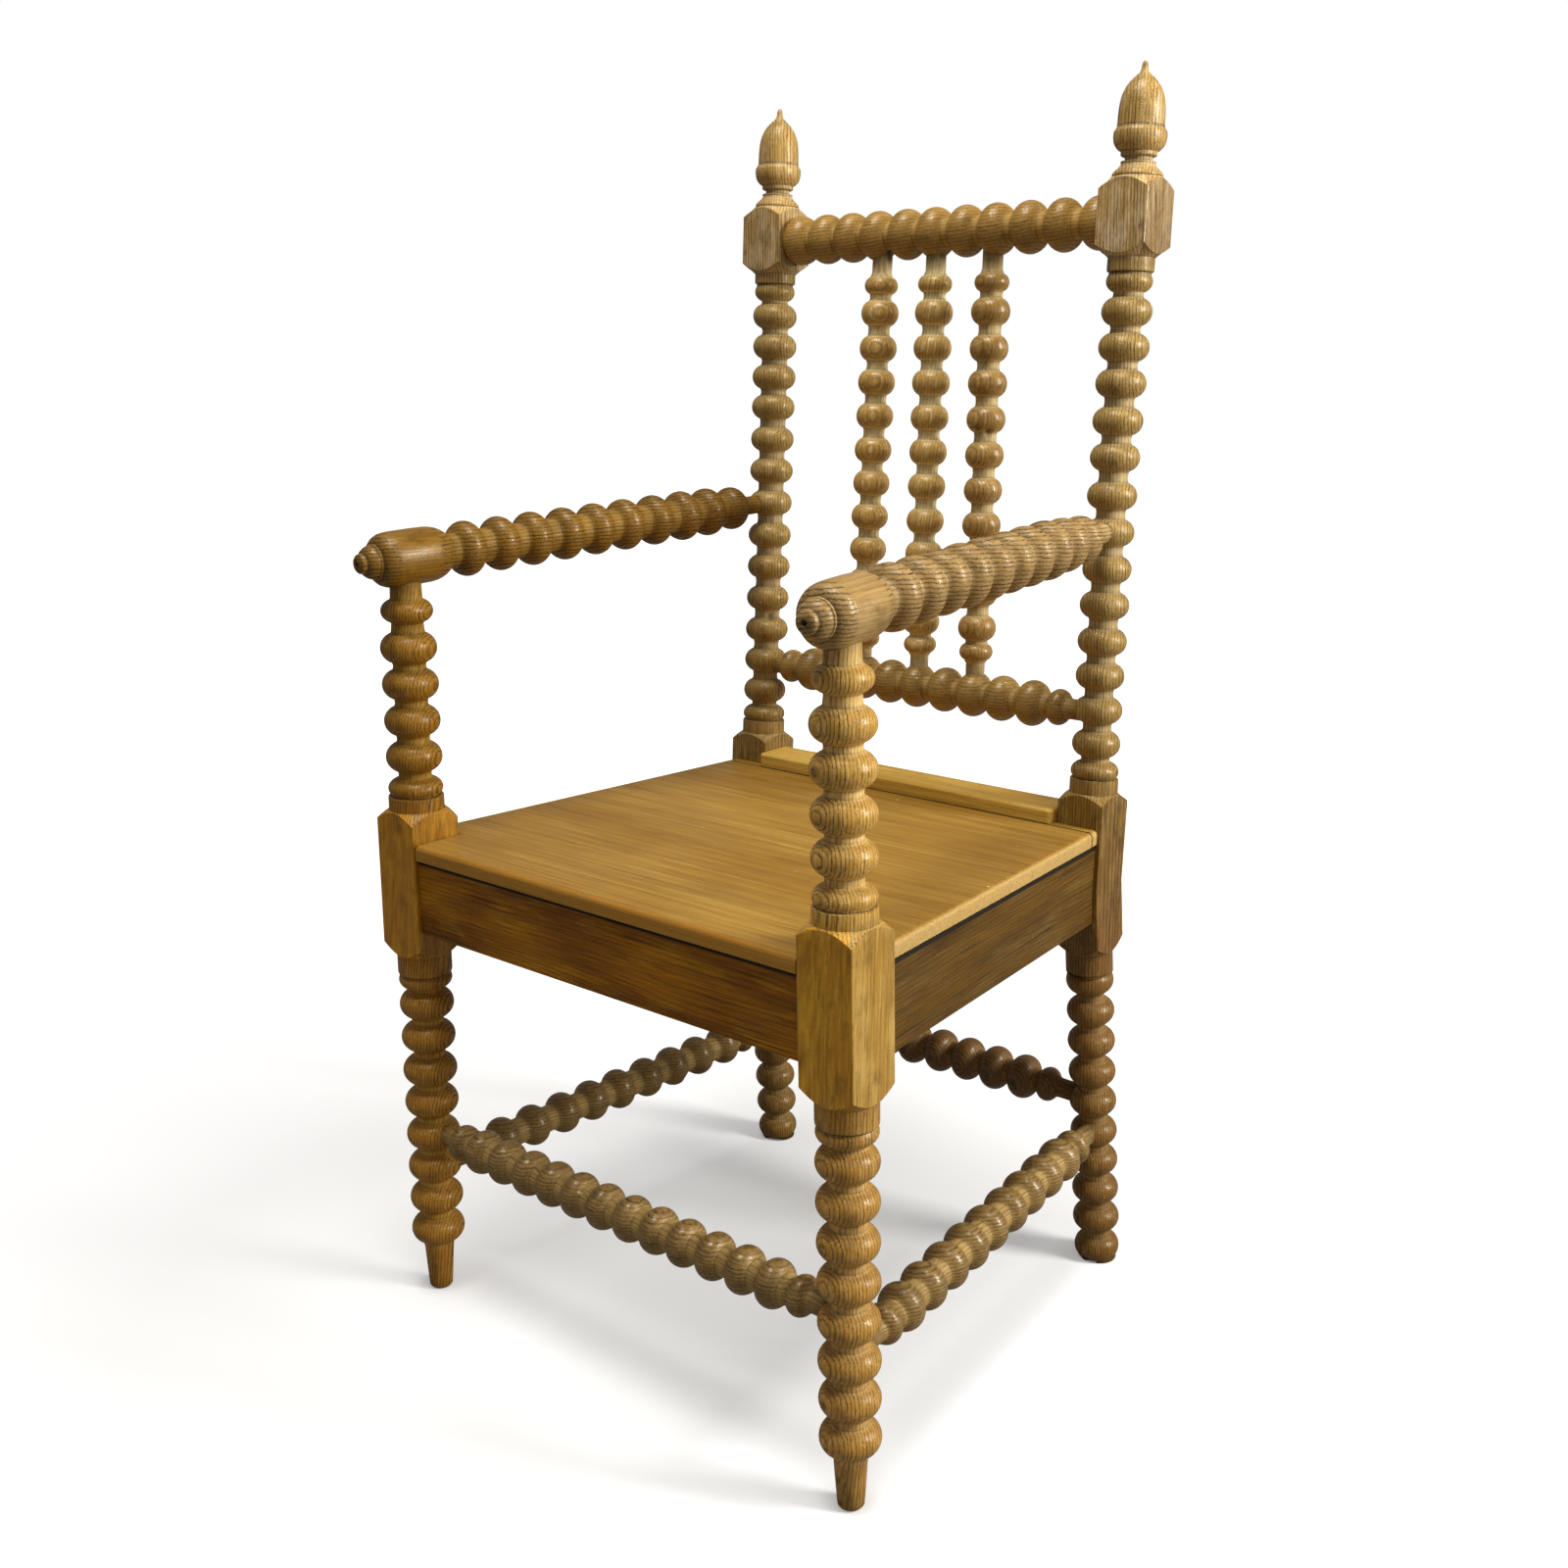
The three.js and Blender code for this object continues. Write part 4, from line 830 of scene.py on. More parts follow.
def crest_rail():
    """Its end bobbins are cut off by the faces of the crest blocks."""
    out = Outline(312)
    run = places(CREST_RAIL.first, BACK_SPAN - CREST_RAIL.first, CREST_RAIL.count, CREST_RAIL.drift)
    out.bobbins(run, tapering(CREST_RAIL.count, CREST_RAIL.size), CREST_RAIL.neck, CREST_RAIL.belly)
    low = BACK_STOCK / 2 - 0.4
    high = BACK_SPAN - low
    inside = [row for row in out.rows if low < row[0] < high]
    out.rows = [(low, inside[0][1] - CREST_PINCH, 0.6, 0.8), *inside,
                (high, inside[-1][1] - CREST_PINCH, 0.6, 0.8)]
    start, end = between(back_upper(LEFT), back_upper(RIGHT), CREST)
    start.z, end.z = start.z - 0.7, end.z + 1.1
    piece = turned_piece("turned_crest_rail", out, start, end, 312, BELOW, ((0, 1.44, 1.42, 1.1),))
    keep(piece, "oak_back", "crest_rail", "oak_crest")


SPINDLE = SimpleNamespace(count=10, size=36, neck=20.6, belly=12, bead=32, bead_belly=8.2)
SPINDLE_ENDS = ((-2.0, -2.19), (-0.145, -0.055), (1.735, 1.945))
SPINDLE_TINTS = ((1.27, 1.22, 1.02), (1.28, 1.27, 1.12), (0.9, 0.82, 0.64))
SPINDLE_DENTS = ((), (), ((244, -0.75, 5, 3), (247, -1.5, 3, 1.2)))


def spindle_outline(seed, length):
    low, high = 21.2 + 19.4, length - 23.2 - 21.8
    bead = (SPINDLE.bead, SPINDLE.neck, SPINDLE.bead_belly, END_BEAD.core_share)
    run = places(low + 23, high - 26, SPINDLE.count)
    out = Outline(seed)
    out.add(12, 8.9, 0.8, 1)
    out.add(low - 10.5, 9.1, 0.9, 0.2)
    out.belly(low, *bead)
    out.add(low + 11.5, 10.3, 1)
    out.bobbins(run, tapering(SPINDLE.count, SPINDLE.size), SPINDLE.neck, SPINDLE.belly)
    out.add(high - 13, 10.2, 1)
    out.belly(high, *bead)
    out.add(high + 11.2, 9.4, 0.9, 0.2)
    out.add(length - 14, 9.4, 0.8, 1)
    return out


def spindles():
    """Each spindle's ends stand at shares of the rails' pitches from the middle of the chair."""
    crest_pitch = (BACK_SPAN - 2 * CREST_RAIL.first) / (CREST_RAIL.count - 1)
    lower_pitch = (BACK_SPAN - LOWER_RAIL.first - LOWER_RAIL.last) / (LOWER_RAIL.count - 1)
    line = back_upper(LEFT)
    for i, ((top, bottom), heart) in enumerate(zip(SPINDLE_ENDS, (BEFORE, BESIDE, BETWEEN))):
        start, end = at_height(line, LOWER_RAIL_HEIGHT), at_height(line, CREST)
        start.x, end.x = bottom * lower_pitch, top * crest_pitch
        seed = 321 + i
        out = spindle_outline(seed, (end - start).length)
        piece = turned_piece(f"turned_spindle_{i + 1}", out, start, end, seed, heart,
                             ((0, *SPINDLE_TINTS[i]),), SPINDLE_DENTS[i])
        keep(piece, "oak_back", f"back_spindle_{i + 1}")


# Planks

def plank_mesh(name, outline, bottom, top, worn, rounding, segments):
    """A board from a flat outline; the edges that worn picks are rounded."""
    bm = bmesh.new()
    lower = [bm.verts.new((x, y, bottom)) for x, y in outline]
    bm.faces.new(lower[::-1])
    upper = [bm.verts.new((x, y, top)) for x, y in outline]
    bm.faces.new(upper)
    for i in range(len(outline)):
        k = (i + 1) % len(outline)
        bm.faces.new((lower[i], lower[k], upper[k], upper[i]))
    bm.normal_update()
    picked = [edge for edge in bm.edges if worn(edge)]
    bmesh.ops.bevel(bm, geom=picked, offset=rounding, segments=segments, profile=0.5, affect="EDGES",
                    clamp_overlap=True)
    bmesh.ops.triangulate(bm, faces=[f for f in bm.faces if len(f.verts) > 4])
    mesh = bpy.data.meshes.new(name)
    bm.to_mesh(mesh)
    bm.free()
    smooth(mesh, PLANK_SHARP)
    return mesh


def plank_piece(name, mesh, matrix, away, seed, slot, node, tone_and_shade=PLAIN):
    """The plank's grain follows its own X; away is the tree's heart as seen along it."""
    co = np.array([v.co for v in mesh.vertices])
    grain = co[:, [1, 2, 0]] + grain_offset(away, seed)
    zero = np.zeros(len(co))
    keep(finish_mesh(name, mesh, matrix, grain, dict(hollow=zero, dark=zero), tone_and_shade), slot, node)


def upright():
    return Matrix.Translation(ORIGIN) @ Matrix.Scale(MM, 4)


# The seat board, and how much room a board leaves beside a post
PLAY = 0.3
SEAT_THICKNESS = 13
SEAT_ROUNDING = 4.6
BOARD_FRONT = -FRONT_STOCK / 2
BOARD_BACK = SEAT_DEPTH + BACK_STOCK / 2 - 3.4
BOARD_FRONT_HALF = FRONT_SPAN / 2 + 8.2
BOARD_BACK_HALF = BACK_SPAN / 2 + 20
POST_FRONT = at_height(back_upper(LEFT), SEAT_HEIGHT).y - BACK_STOCK / 2


def board_half(y):
    """Half width of the seat board at a depth."""
    slope = (BOARD_BACK_HALF - BOARD_FRONT_HALF) / (SEAT_DEPTH - BACK_STOCK / 2 - BOARD_FRONT)
    return BOARD_FRONT_HALF + (y - BOARD_FRONT) * slope


def seat_outline():
    notch_x = at_height(front_axis(LEFT), SEAT_HEIGHT).x - FRONT_STOCK / 2 - PLAY
    notch_y = FRONT_STOCK / 2 + PLAY
    back_x = (BACK_SPAN - BACK_STOCK) / 2 - PLAY
    back_y = POST_FRONT - PLAY
    right = [(notch_x, BOARD_FRONT), (notch_x, notch_y), (board_half(notch_y), notch_y),
             (board_half(back_y), back_y), (back_x, back_y), (back_x, BOARD_BACK)]
    return [(-x, y) for x, y in right] + right[::-1]


def seat_board():
    def worn(edge):
        """The front and side edges of the upper face."""
        if any(abs(v.co.z - SEAT_HEIGHT) > 0.1 for v in edge.verts):
            return False
        at_front = all(v.co.y < BOARD_FRONT + 0.1 for v in edge.verts)
        at_side = all(abs(v.co.x) > board_half(v.co.y) - 0.5 for v in edge.verts)
        return at_front or at_side
    mesh = plank_mesh("plank_seat", seat_outline(), SEAT_HEIGHT - SEAT_THICKNESS, SEAT_HEIGHT, worn,
                      SEAT_ROUNDING, 6)
    plank_piece("plank_seat", mesh, upright(), (0.25, -0.97), 401, "oak_seat", "seat_board",
                ((0, 0.97, 0.97, 1),))


BATTEN_FRONT = POST_FRONT - 10.5
BATTEN_DEPTH = 43
BATTEN_TOP = SEAT_HEIGHT + 13.9
BATTEN_LET_IN = 0.7
BATTEN_CORNER = 5
BATTEN_ROUNDING = 3.4


def batten():
    half = (BACK_SPAN - BACK_STOCK) / 2 - PLAY
    corner = []
    for turn in np.radians((0, 22, 45, 68, 90)):
        corner.append((half - BATTEN_CORNER * (1 - math.sin(turn)),
                       BATTEN_FRONT + BATTEN_CORNER * (1 - math.cos(turn))))
    back = BATTEN_FRONT + BATTEN_DEPTH
    outline = [(-x, y) for x, y in corner[::-1]] + corner + [(half, back), (-half, back)]

    def worn(edge):
        return all(v.co.z > BATTEN_TOP - 0.1 for v in edge.verts)
    mesh = plank_mesh("batten", outline, SEAT_HEIGHT - BATTEN_LET_IN, BATTEN_TOP, worn, BATTEN_ROUNDING, 6)
    plank_piece("seat_batten", mesh, upright(), (0.6, -0.8), 402, "oak_seat", "back_batten",
                ((0, 1.64, 1.86, 2.2),))


# Seat rails: how far each runs into its posts, and stands back from the board's edge
RAIL_TOP = SEAT_HEIGHT - SEAT_THICKNESS - PLAY
RAIL_HEIGHT = 69.5
SIDE_RAIL_HEIGHT = 74.6
RAIL_HALF = 11
RAIL_ROUNDING = 1.6
RAIL_TENON = 4
RAIL_SETBACK = 4.5
SIDE_RAIL_BACK_SETBACK = 0.8


def rail_between(node, start, end, height, away, seed, tone_and_shade=PLAIN):
    """A seat rail on its centre line, run a little into the posts that it is tenoned to."""
    way = (end - start).normalized()
    length = (end - start).length + 2 * RAIL_TENON
    turn = Matrix.Rotation(math.atan2(way.y, way.x), 4, "Z")
    matrix = Matrix.Translation(ORIGIN + (start - way * RAIL_TENON) * MM) @ turn @ Matrix.Scale(MM, 4)
    outline = [(0, -RAIL_HALF), (length, -RAIL_HALF), (length, RAIL_HALF), (0, RAIL_HALF)]
    low = RAIL_TOP - height

    def worn(edge):
        a, b = (v.co for v in edge.verts)
        return abs(a.x - b.x) > 10 and max(a.z, b.z) < low + 1
    name = f"plank_{node}"
    mesh = plank_mesh(name, outline, low, RAIL_TOP, worn, RAIL_ROUNDING, 3)
    plank_piece(name, mesh, matrix, away, seed, "oak_rail", node, tone_and_shade)


def seat_rails():
    front_y = BOARD_FRONT + RAIL_SETBACK + RAIL_HALF
    middle = RAIL_TOP - RAIL_HEIGHT / 2
    xs = [at_height(front_axis(hand), middle).x - hand.side * FRONT_STOCK / 2 for hand in (RIGHT, LEFT)]
    # Painted light and shade: the front rail's factors brighten it and take out nearly all its blue, as the
    # colour of its shaded face
    rail_between("front_seat_rail", Vector((xs[0], front_y, 0)), Vector((xs[1], front_y, 0)),
                 RAIL_HEIGHT, (0.5, 0.86), 411, ((0, 1.8, 1.46, 0.12),))
    back_y = BOARD_BACK - RAIL_HALF
    inner = (BACK_SPAN - BACK_STOCK) / 2
    rail_between("back_seat_rail", Vector((-inner, back_y, 0)), Vector((inner, back_y, 0)),
                 RAIL_HEIGHT, (0.5, 0.86), 412)
    for i, hand in enumerate((LEFT, RIGHT)):
        front_x = hand.side * (BOARD_FRONT_HALF - RAIL_SETBACK - RAIL_HALF)
        back_x = hand.side * (BOARD_BACK_HALF - SIDE_RAIL_BACK_SETBACK - RAIL_HALF)
        start = Vector((front_x, FRONT_STOCK / 2, 0))
        end = Vector((back_x, SEAT_DEPTH - BACK_STOCK / 2, 0))
        # Painted light and shade: the side rails' factors darken them
        rail_between(f"side_seat_rail_{hand.name}", start, end, SIDE_RAIL_HEIGHT, (0.94, -0.34), 413 + i,
                     ((0, 0.51, 0.51, 0.38),))


# Materials

def linear(code):
    """Linear red, green, blue and alpha of a colour written in hex."""
    out = []
    for i in (0, 2, 4):
        c = int(code[i:i + 2], 16) / 255
        out.append(c / 12.92 if c <= 0.04045 else ((c + 0.055) / 1.055) ** 2.4)
    return (*out, 1)


class Graph:
    """Short names for making and joining shader nodes."""

    def __init__(self, owner):
        self.owner = owner
        owner.use_nodes = True
        self.tree = owner.node_tree
        self.tree.nodes.clear()

    def put(self, made, key, value):
        """Joins an output to an input, or sets the input; a string is a colour in hex."""
        socket = made.inputs[key] if isinstance(key, int) else made.inputs[key.replace("_", " ")]
        if isinstance(value, bpy.types.NodeSocket):
            self.tree.links.new(value, socket)
        else:
            socket.default_value = linear(value) if isinstance(value, str) else value

    def node(self, kind, settings=None, **inputs):
        made = self.tree.nodes.new(kind)
        for key, value in (settings or {}).items():
            setattr(made, key, value)
        for key, value in inputs.items():
            self.put(made, key, value)
        return made

    def attribute(self, name, output):
        return self.node("ShaderNodeAttribute", dict(attribute_name=name)).outputs[output]

    def math(self, operation, a, b=0.0, clamp=False):
        made = self.node("ShaderNodeMath", dict(operation=operation, use_clamp=clamp))
        self.put(made, 0, a)
        self.put(made, 1, b)
        return made.outputs[0]

    def times(self, *values):
        total = values[0]
        for value in values[1:]:
            total = self.math("MULTIPLY", total, value)
        return total

    def vector(self, operation, a, b=(0, 0, 0), output="Vector"):
        made = self.node("ShaderNodeVectorMath", dict(operation=operation))
        self.put(made, 0, a)
        self.put(made, 1, b)
        return made.outputs[output]

    def spot(self, origin=(0, 0, 0)):
        """The point's own place in millimetres, from an origin in metres."""
        away = self.vector("SUBTRACT", self.node("ShaderNodeNewGeometry").outputs["Position"], origin)
        return self.vector("DIVIDE", away, (MM, MM, MM))

    def parts(self, vector):
        return self.node("ShaderNodeSeparateXYZ", Vector=vector).outputs

    def noise(self, place, scales, detail=2.0, rough=0.5, output="Fac"):
        """Noise whose scales, per millimetre, differ across and along the grain."""
        spot = self.vector("MULTIPLY", place, scales)
        made = self.node("ShaderNodeTexNoise", Vector=spot, Scale=1.0, Detail=detail, Roughness=rough)
        return made.outputs[output]

    def span(self, value, low, high, to_low=0.0, to_high=1.0):
        made = self.node("ShaderNodeMapRange", dict(clamp=True), Value=value, From_Min=low, From_Max=high,
                         To_Min=to_low, To_Max=to_high)
        return made.outputs[0]

    def patches(self, place, across, along, low, high, detail=3, rough=0.6, least=0):
        """Patches of noise, scaled across and along the grain; least where it is low, 1 where high."""
        return self.span(self.noise(place, (across, across, along), detail, rough), low, high, least)

    def mix(self, factor, a, b, kind="MIX"):
        made = self.node("ShaderNodeMix", dict(data_type="RGBA", blend_type=kind))
        self.put(made, 0, factor)
        self.put(made, 6, a)
        self.put(made, 7, b)
        return made.outputs[2]

    def paint(self, base, *coats):
        """Lays coats of colour over a base; each is a colour, then the factors of its share."""
        for colour, *shares in coats:
            base = self.mix(self.times(*shares), base, colour)
        return base

    def tinted(self, colour):
        return self.mix(1.0, colour, self.attribute("tint", "Color"), "MULTIPLY")

    def ramp(self, value, stops):
        made = self.node("ShaderNodeValToRGB")
        ramp = made.color_ramp
        while len(ramp.elements) < len(stops):
            ramp.elements.new(0.5)
        for element, (place, level) in zip(ramp.elements, stops):
            element.position = place
            element.color = (level, level, level, 1)
        self.put(made, 0, value)
        return made.outputs[0]

    def surface(self, colour, rough, height, depth, specular=0.5, coat=0.0):
        bump = self.node("ShaderNodeBump", Strength=0.6, Distance=depth * MM, Height=height)
        shader = self.node("ShaderNodeBsdfPrincipled", Base_Color=colour, Roughness=rough,
                           Normal=bump.outputs[0], Specular_IOR_Level=specular,
                           Specular_Tint=(1, 0.84, 0.56, 1), Coat_Weight=coat, Coat_Roughness=0.24)
        self.node("ShaderNodeOutputMaterial", Surface=shader.outputs[0])
        return self.owner


# How open the wood is through one year's growth
YEAR = ((0.0, 0.6), (0.06, 1.0), (0.22, 0.9), (0.36, 0.25), (0.46, 0.0), (0.95, 0.0))


def growth_layers(g, place, spacing, wander, reach):
    """Dark early wood of each year's layer, 0 to 1; the layers wander by so many millimetres."""
    drift = g.noise(place, (1 / reach, 1 / reach, 0.2 / reach), 2, 0.45, "Color")
    drift = g.vector("SUBTRACT", drift, (0.5, 0.5, 0.5))
    bent = g.vector("ADD", place, g.vector("MULTIPLY", drift, (wander, wander, 0)))
    radius = g.vector("LENGTH", g.vector("MULTIPLY", bent, (1, 1, 0)), output="Value")
    uneven = g.times(g.noise(place, (0.2, 0.2, 0.02)), 0.9)
    years = g.math("ADD", g.math("DIVIDE", radius, spacing), uneven)
    early = g.ramp(g.math("FRACT", years), YEAR)
    white = g.node("ShaderNodeTexWhiteNoise", dict(noise_dimensions="1D"), W=g.math("FLOOR", years))
    return g.times(early, g.span(white.outputs["Value"], 0, 1, 0.6, 1.0))


def turned_veins(g, place, shape, hollow, look):
    """Open pores in the early wood, and flecks beside them; fainter on barrels and in hollows."""
    early = growth_layers(g, place, look.spacing, 9, 70)
    ticks = g.patches(place, 1.1, 0.09, 0.4, 0.56, 2, least=0.45)
    flecks = g.times(g.patches(place, 1.5, 0.12, 0.54, 0.68, 2), 0.5)
    veins = g.math("MAXIMUM", g.math("MULTIPLY", g.times(early, ticks), look.lines, True), flecks)
    return g.times(veins, g.span(shape, -1, -0.5, 0.25, 1.0), g.span(hollow, 0, 1, 1.0, 0.75))


def turned_browns(g, place, shape, hollow, look):
    """The wood's own browns, belly and neck, with stripes, stains and the figure of the flat faces."""
    chalk = g.patches(place, 0.12, 0.06, 0.3, 0.7, least=0.45)
    flat = g.span(shape, -0.25, -0.5)
    return g.paint(
        look.light,
        (look.deep, g.patches(place, 0.03, 0.008, 0.34, 0.66), 0.7),
        (look.deep, g.patches(place, 2.4, 0.05, 0.35, 0.7), 0.3),
        (look.belly, g.span(hollow, 0, 0.5, 1, 0), look.polish),
        (look.neck, g.span(hollow, 0.25, 1), chalk, look.limed),
        (look.neck, g.patches(place, 0.42, 0.01, 0.5, 0.62), 0.3),
        (look.line, g.patches(place, 0.5, 0.012, 0.44, 0.6, 4, 0.7), flat, 0.3),
        (look.neck, g.patches(place, 0.07, 0.02, 0.48, 0.66, 4, 0.65), flat, 0.4),
        (look.line, g.patches(place, 0.055, 0.04, 0.52, 0.72, 4, 0.65), 0.4))


def turned_oak(name, **changes):
    """Turned oak: growth layers cut through by the turning, open pores, pale necks, and painted shade in
    creases and grooves.
    """
    look = dict(lines=0.95, spacing=2.9, gloss=0.27, limed=0.6, polish=0.4, coat=0.12)
    look = SimpleNamespace(**{**look, **changes})
    g = Graph(bpy.data.materials.new(name))
    place = g.attribute("grain", "Vector")
    shape, dark = g.attribute("hollow", "Fac"), g.attribute("dark", "Fac")
    hollow = g.math("MAXIMUM", shape, 0.0)
    veins = turned_veins(g, place, shape, hollow, look)
    nicks = g.patches(place, 0.15, 0.1, 0.8, 0.83, 1, 0.5)
    wood = g.paint(turned_browns(g, place, shape, hollow, look), (look.line, veins), ("e6d0a0", nicks, 0.8))
    # Painted shade: a near-black coat where the rings are marked dark, in creases, grooves, holes and
    # dents, broken into patches
    patchy_shade = g.patches(place, 0.2, 0.1, 0.3, 0.7, least=0.55)
    colour = g.paint(g.tinted(wood), ("140b03", dark, patchy_shade))
    wear = g.noise(place, (0.06, 0.06, 0.03), 4, 0.6)
    wear = g.span(wear, 0.3, 0.7, look.gloss - 0.06, look.gloss + 0.12)
    rough = g.math("ADD", wear, g.math("ADD", g.times(hollow, 0.25), g.times(veins, 0.3)), True)
    tool = g.noise(place, (0.05, 0.05, 0.9), 2, 0.5)
    dimples = g.noise(place, (0.25, 0.25, 0.2), 3, 0.6)
    relief = g.math("ADD", g.times(tool, 0.35), g.times(dimples, 0.9))
    height = g.math("ADD", g.times(veins, -1.0), relief)
    coat = g.times(g.span(hollow, 0, 0.6, 1, 0), look.coat)
    return g.surface(colour, rough, height, 0.5, coat=coat)


def seat_edges(g, base, spot, light, edge):
    """The front rounding is rubbed dark, and the board's ends show pale end grain."""
    _, y, z = g.parts(spot)
    scuffs = g.span(g.noise(spot, (0.05, 0.2, 0.2), 3, 0.65), 0.36, 0.6, 0.35, 1)
    nicks = g.patches(spot, 0.11, 0.11, 0.83, 0.86, 1, 0.5)
    end_grain = g.span(g.noise(spot, (0.35, 0.6, 0.6), 3, 0.7), 0.35, 0.65)
    below = g.span(z, SEAT_HEIGHT - 0.3, SEAT_HEIGHT - 2)
    return g.paint(
        base,
        (edge, g.span(y, BOARD_FRONT + 6, BOARD_FRONT + 2.5), scuffs, 0.8),
        ("e0cc9c", nicks),
        (g.mix(end_grain, light, "d8b878"), below, g.span(y, BOARD_FRONT + 8, BOARD_FRONT + 14), 0.75))


def batten_foot_shade(g, spot):
    """Painted shade: a dark line on the board along the batten's foot."""
    _, y, z = g.parts(spot)
    near = g.span(y, BATTEN_FRONT - 2.2, BATTEN_FRONT - 0.6)
    return g.times(near, g.span(y, BATTEN_FRONT + 1, BATTEN_FRONT),
                   g.span(z, SEAT_HEIGHT + 0.8, SEAT_HEIGHT + 0.2))


def seat_oak(name, light, deep, edge, line):
    """A waxed seat plank: fine streaks, wide worn patches, dark front edge, and painted shade along the
    batten.
    """
    g = Graph(bpy.data.materials.new(name))
    place = g.attribute("grain", "Vector")
    spot = g.spot(ORIGIN)
    streak = g.patches(place, 0.14, 0.004, 0.36, 0.66, 4)
    fibre = g.patches(place, 0.7, 0.008, 0.42, 0.62, 4, 0.7)
    layers = g.times(growth_layers(g, place, 9, 26, 90), g.span(streak, 0, 1, 0.3, 1))
    patch = g.span(g.noise(spot, (0.005, 0.012, 0.01), 3, 0.6), 0.4, 0.64)
    pores = g.patches(place, 1.6, 0.1, 0.64, 0.74, 2)
    wood = g.paint(light, (deep, patch, 0.7), (deep, streak, 0.75), (line, fibre, 0.42),
                   (line, layers, 0.3), (line, pores, 0.5))
    wood = g.tinted(seat_edges(g, wood, spot, light, edge))
    # Painted shade: a near-black line along the batten's foot
    colour = g.paint(wood, ("0c0702", batten_foot_shade(g, spot)))
    rough = g.span(g.noise(spot, (0.02, 0.03, 0.02), 4, 0.6), 0.3, 0.7, 0.36, 0.56)
    relief = g.times(g.noise(place, (0.5, 0.5, 0.03), 3, 0.6), 0.7)
    return g.surface(colour, rough, g.math("SUBTRACT", relief, g.times(fibre, 0.5)), 0.35)


def rail_oak(name, light, deep, pale, line):
    """A seat rail: brown plank with long black checks, cathedral figure, paler worn places, and painted
    shade under the seat.
    """
    g = Graph(bpy.data.materials.new(name))
    place = g.attribute("grain", "Vector")
    layers = growth_layers(g, place, 4, 34, 80)
    fibre = g.patches(place, 0.9, 0.025, 0.36, 0.66, 4, 0.65)
    shade = g.patches(place, 0.03, 0.006, 0.36, 0.64, 3, 0.55)
    worn = g.patches(place, 0.05, 0.012, 0.5, 0.72, 4)
    checks = g.times(g.patches(place, 0.42, 0.005, 0.58, 0.66),
                     g.patches(place, 0.04, 0.01, 0.42, 0.56, 2, 0.5))
    # Painted shade: a dark band along the rail's top, under the seat's overhang
    under_seat_shade = g.span(g.parts(g.spot())[2], RAIL_TOP - 5.2, RAIL_TOP - 3.8)
    wood = g.paint(light, (deep, shade), (pale, worn, 0.6), (line, layers, 0.4), (line, fibre, 0.5))
    # Near black for the checks, and for the painted shade under the seat
    colour = g.paint(g.tinted(wood), ("120a02", g.math("MAXIMUM", g.times(checks, 0.9), under_seat_shade)))
    rough = g.span(g.noise(place, (0.1, 0.1, 0.02), 3, 0.6), 0.3, 0.7, 0.42, 0.66)
    cuts = g.math("ADD", g.times(checks, 1.6), g.times(layers, 0.4))
    height = g.math("SUBTRACT", g.times(fibre, -0.8), cuts)
    return g.surface(colour, rough, height, 0.5, 0.3)


def sawn_oak(name, light, line):
    """Bare sawn oak of the corner blocks, which carry no stored grain."""
    g = Graph(bpy.data.materials.new(name))
    spot = g.spot()
    fibre = g.patches(spot, 0.8, 0.03, 0.36, 0.66, 4, 0.65)
    saw = g.noise(spot, (0.02, 0.02, 0.6), 2, 0.5)
    colour = g.paint(light, (line, fibre, 0.5))
    height = g.math("ADD", saw, g.times(fibre, -0.5))
    return g.surface(colour, g.span(saw, 0.3, 0.7, 0.6, 0.75), height, 0.5, 0.3)


WOODS = {
    "oak_post": turned_oak(
        "post_oak", light="c0984e", deep="9c7632", belly="a47c32", neck="dec084", line="201003",
        lines=0.97, spacing=2.7, limed=0.7, polish=0.5),
    "oak_arm": turned_oak(
        "arm_oak", light="cca160", deep="a27a3e", belly="b2884a", neck="d6b478", line="180a02",
        lines=1.15, spacing=3.2, limed=0.5, coat=0.05),
    "oak_back": turned_oak(
        "back_oak", light="d0ae6a", deep="a88444", belly="a67e3c", neck="f0dcb0", line="3a2208",
        lines=0.7, limed=0.95, polish=0.7, gloss=0.24, coat=0.35),
    "oak_crest": turned_oak(
        "crest_oak", light="b08a4c", deep="7e5c28", belly="86622c", neck="a8844a", line="1e1004",
        lines=0.8, limed=0.5, polish=0.5, gloss=0.26, coat=0.2),
    "oak_stretcher": turned_oak(
        "stretcher_oak", light="a88650", deep="7c5c2c", belly="84642e", neck="c4a05c", line="1a0e04",
        limed=0.8, polish=0.5, gloss=0.24, coat=0.3),
    "oak_seat": seat_oak("seat_oak", "b68c3c", "94681c", "b0741a", "5e3c0c"),
    "oak_rail": rail_oak("rail_oak", "9c6c16", "6a4406", "b08a4c", "301a02"),
    "oak_inner": sawn_oak("inner_oak", "a07a3c", "5c4018"),
}


def keep(piece, slot, node, wood=None):
    piece.data.materials.append(WOODS[wood or slot])
    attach(piece, "root")
    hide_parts(node)


# Camera, light and floor

EYE = Vector((936.6, -892.1, 869.7))
YAW, PITCH, ROLL = 0.701, -0.254, -0.004
FOCAL_LENGTH = 38.709
SENSOR_WIDTH = 36

# Strength of the even light, half width of the floor in metres, and the distances from the chair
# between which the floor fades to white
SOFT_LIGHT = 0.22
FLOOR_HALF = 12
FADE_START, FADE_END = 600, 2200


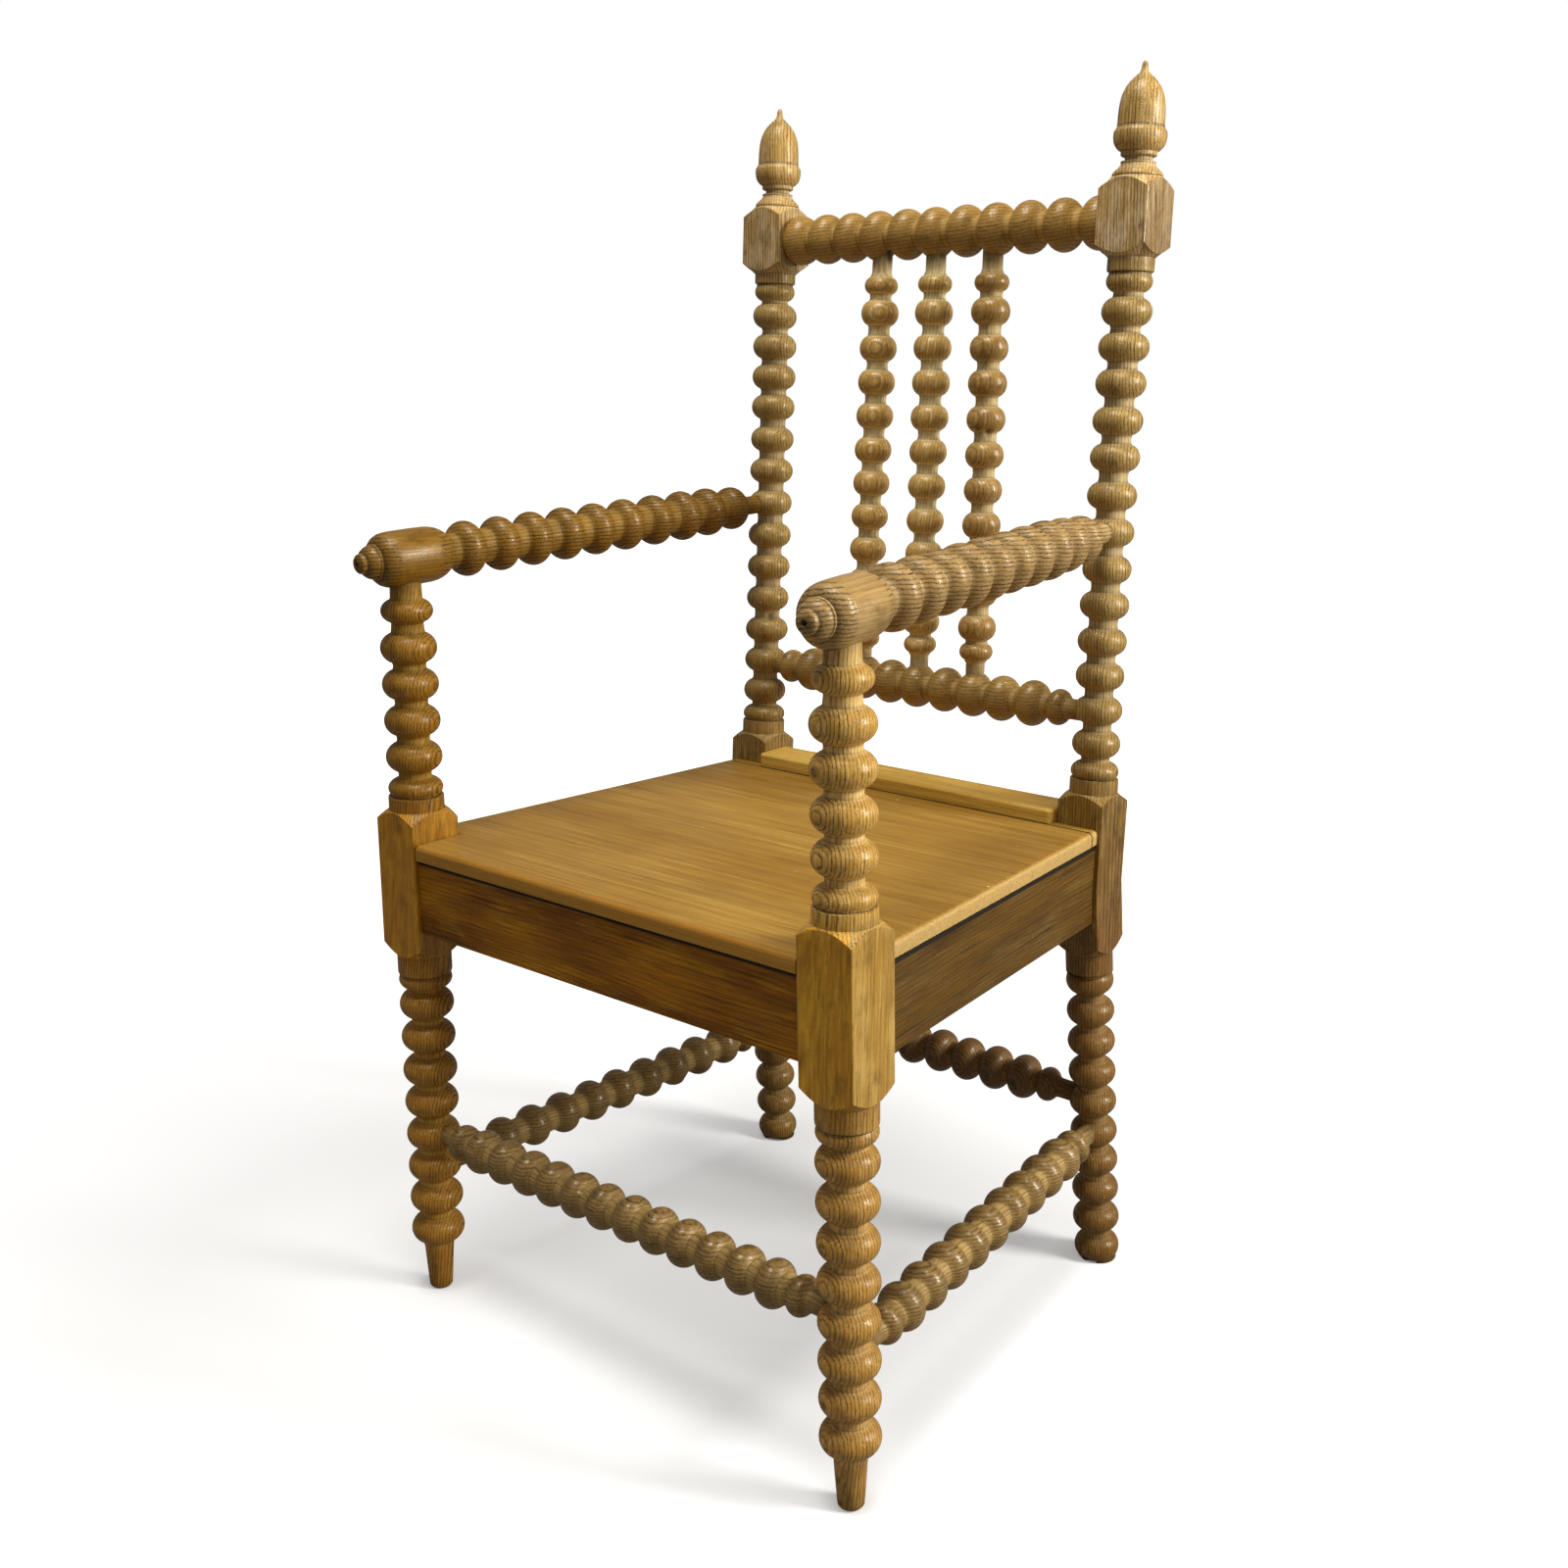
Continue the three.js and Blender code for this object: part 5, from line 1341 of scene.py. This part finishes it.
def camera():
    lens = bpy.data.cameras.new("camera")
    lens.sensor_width = SENSOR_WIDTH
    lens.lens = FOCAL_LENGTH
    lens.clip_start = 0.05
    eye = link("camera", lens)
    place = Matrix.Translation(ORIGIN + EYE * MM)
    for angle, way in ((YAW, "Z"), (math.pi / 2 + PITCH, "X"), (ROLL, "Z")):
        place = place @ Matrix.Rotation(angle, 4, way)
    eye.matrix_world = place
    bpy.context.scene.camera = eye


def lamp(name, place, aim, size, power):
    light = bpy.data.lights.new(name, "AREA")
    light.shape = "RECTANGLE"
    light.size, light.size_y = size
    light.energy = power
    made = link(name, light)
    made.location = place
    made.rotation_euler = (Vector(aim) - Vector(place)).to_track_quat("-Z", "Y").to_euler()


def world():
    """Plain white where the camera sees past the floor, and a soft even light for everything else."""
    g = Graph(bpy.data.worlds.new("studio"))
    seen = g.node("ShaderNodeBackground", Color=(1, 1, 1, 1), Strength=1.0)
    soft = g.node("ShaderNodeBackground", Color=(1, 0.985, 0.96, 1), Strength=SOFT_LIGHT)
    blend = g.node("ShaderNodeMixShader")
    g.put(blend, 0, g.node("ShaderNodeLightPath").outputs["Is Camera Ray"])
    g.put(blend, 1, soft.outputs[0])
    g.put(blend, 2, seen.outputs[0])
    g.node("ShaderNodeOutputWorld", Surface=blend.outputs[0])
    bpy.context.scene.world = g.owner


def floor_material():
    """Pale floor that keeps the shadow near the chair and fades to the white behind it farther off."""
    g = Graph(bpy.data.materials.new("pale_floor"))
    seen = g.node("ShaderNodeLightPath").outputs["Is Camera Ray"]
    away = g.vector("LENGTH", g.vector("MULTIPLY", g.spot(), (1, 1, 0)), output="Value")
    glow = g.times(seen, g.span(away, FADE_START, FADE_END, 0.3, 1.0))
    colour = g.mix(seen, (0.26, 0.245, 0.22, 1), (0.78, 0.77, 0.75, 1))
    plain = g.node("ShaderNodeBsdfDiffuse", Color=colour)
    light = g.node("ShaderNodeEmission", Color=(1, 1, 1, 1), Strength=glow)
    total = g.node("ShaderNodeAddShader")
    g.put(total, 0, plain.outputs[0])
    g.put(total, 1, light.outputs[0])
    g.node("ShaderNodeOutputMaterial", Surface=total.outputs[0])
    return g.owner


def floor():
    mesh = bpy.data.meshes.new("floor")
    r = FLOOR_HALF
    mesh.from_pydata([(-r, -r, 0), (r, -r, 0), (r, r, 0), (-r, r, 0)], [], [(0, 1, 2, 3)])
    ground = link("floor", mesh)
    mesh.materials.append(floor_material())


def studio():
    camera()
    world()
    floor()
    lamp("window", place=(2.0, 0.75, 1.4), aim=(0, 0, 0.7), size=(0.6, 1.1), power=60)
    lamp("ceiling", place=(0.2, -0.5, 3.2), aim=(0, 0, 0.5), size=(1.3, 1.3), power=68)
    bpy.context.scene.view_settings.view_transform = "Standard"


# The chair

studio()
front_post(LEFT, 101, BETWEEN)
front_post(RIGHT, 102, ASIDE)
back_post(LEFT, 201, BESIDE)
back_post(RIGHT, 202, BESIDE, ((205, -0.5, 6, 2.2),))
for step, side_hand in enumerate((LEFT, RIGHT)):
    finial(side_hand, 221 + step, BESIDE)
    arm(side_hand, 241 + step, BELOW)
stretchers()
lower_back_rail()
crest_rail()
spindles()
seat_board()
batten()
seat_rails()

for node_name, node in frame["nodes"].items():
    if node_name.startswith("corner_block"):
        node.data.materials.clear()
        node.data.materials.append(WOODS["oak_inner"])
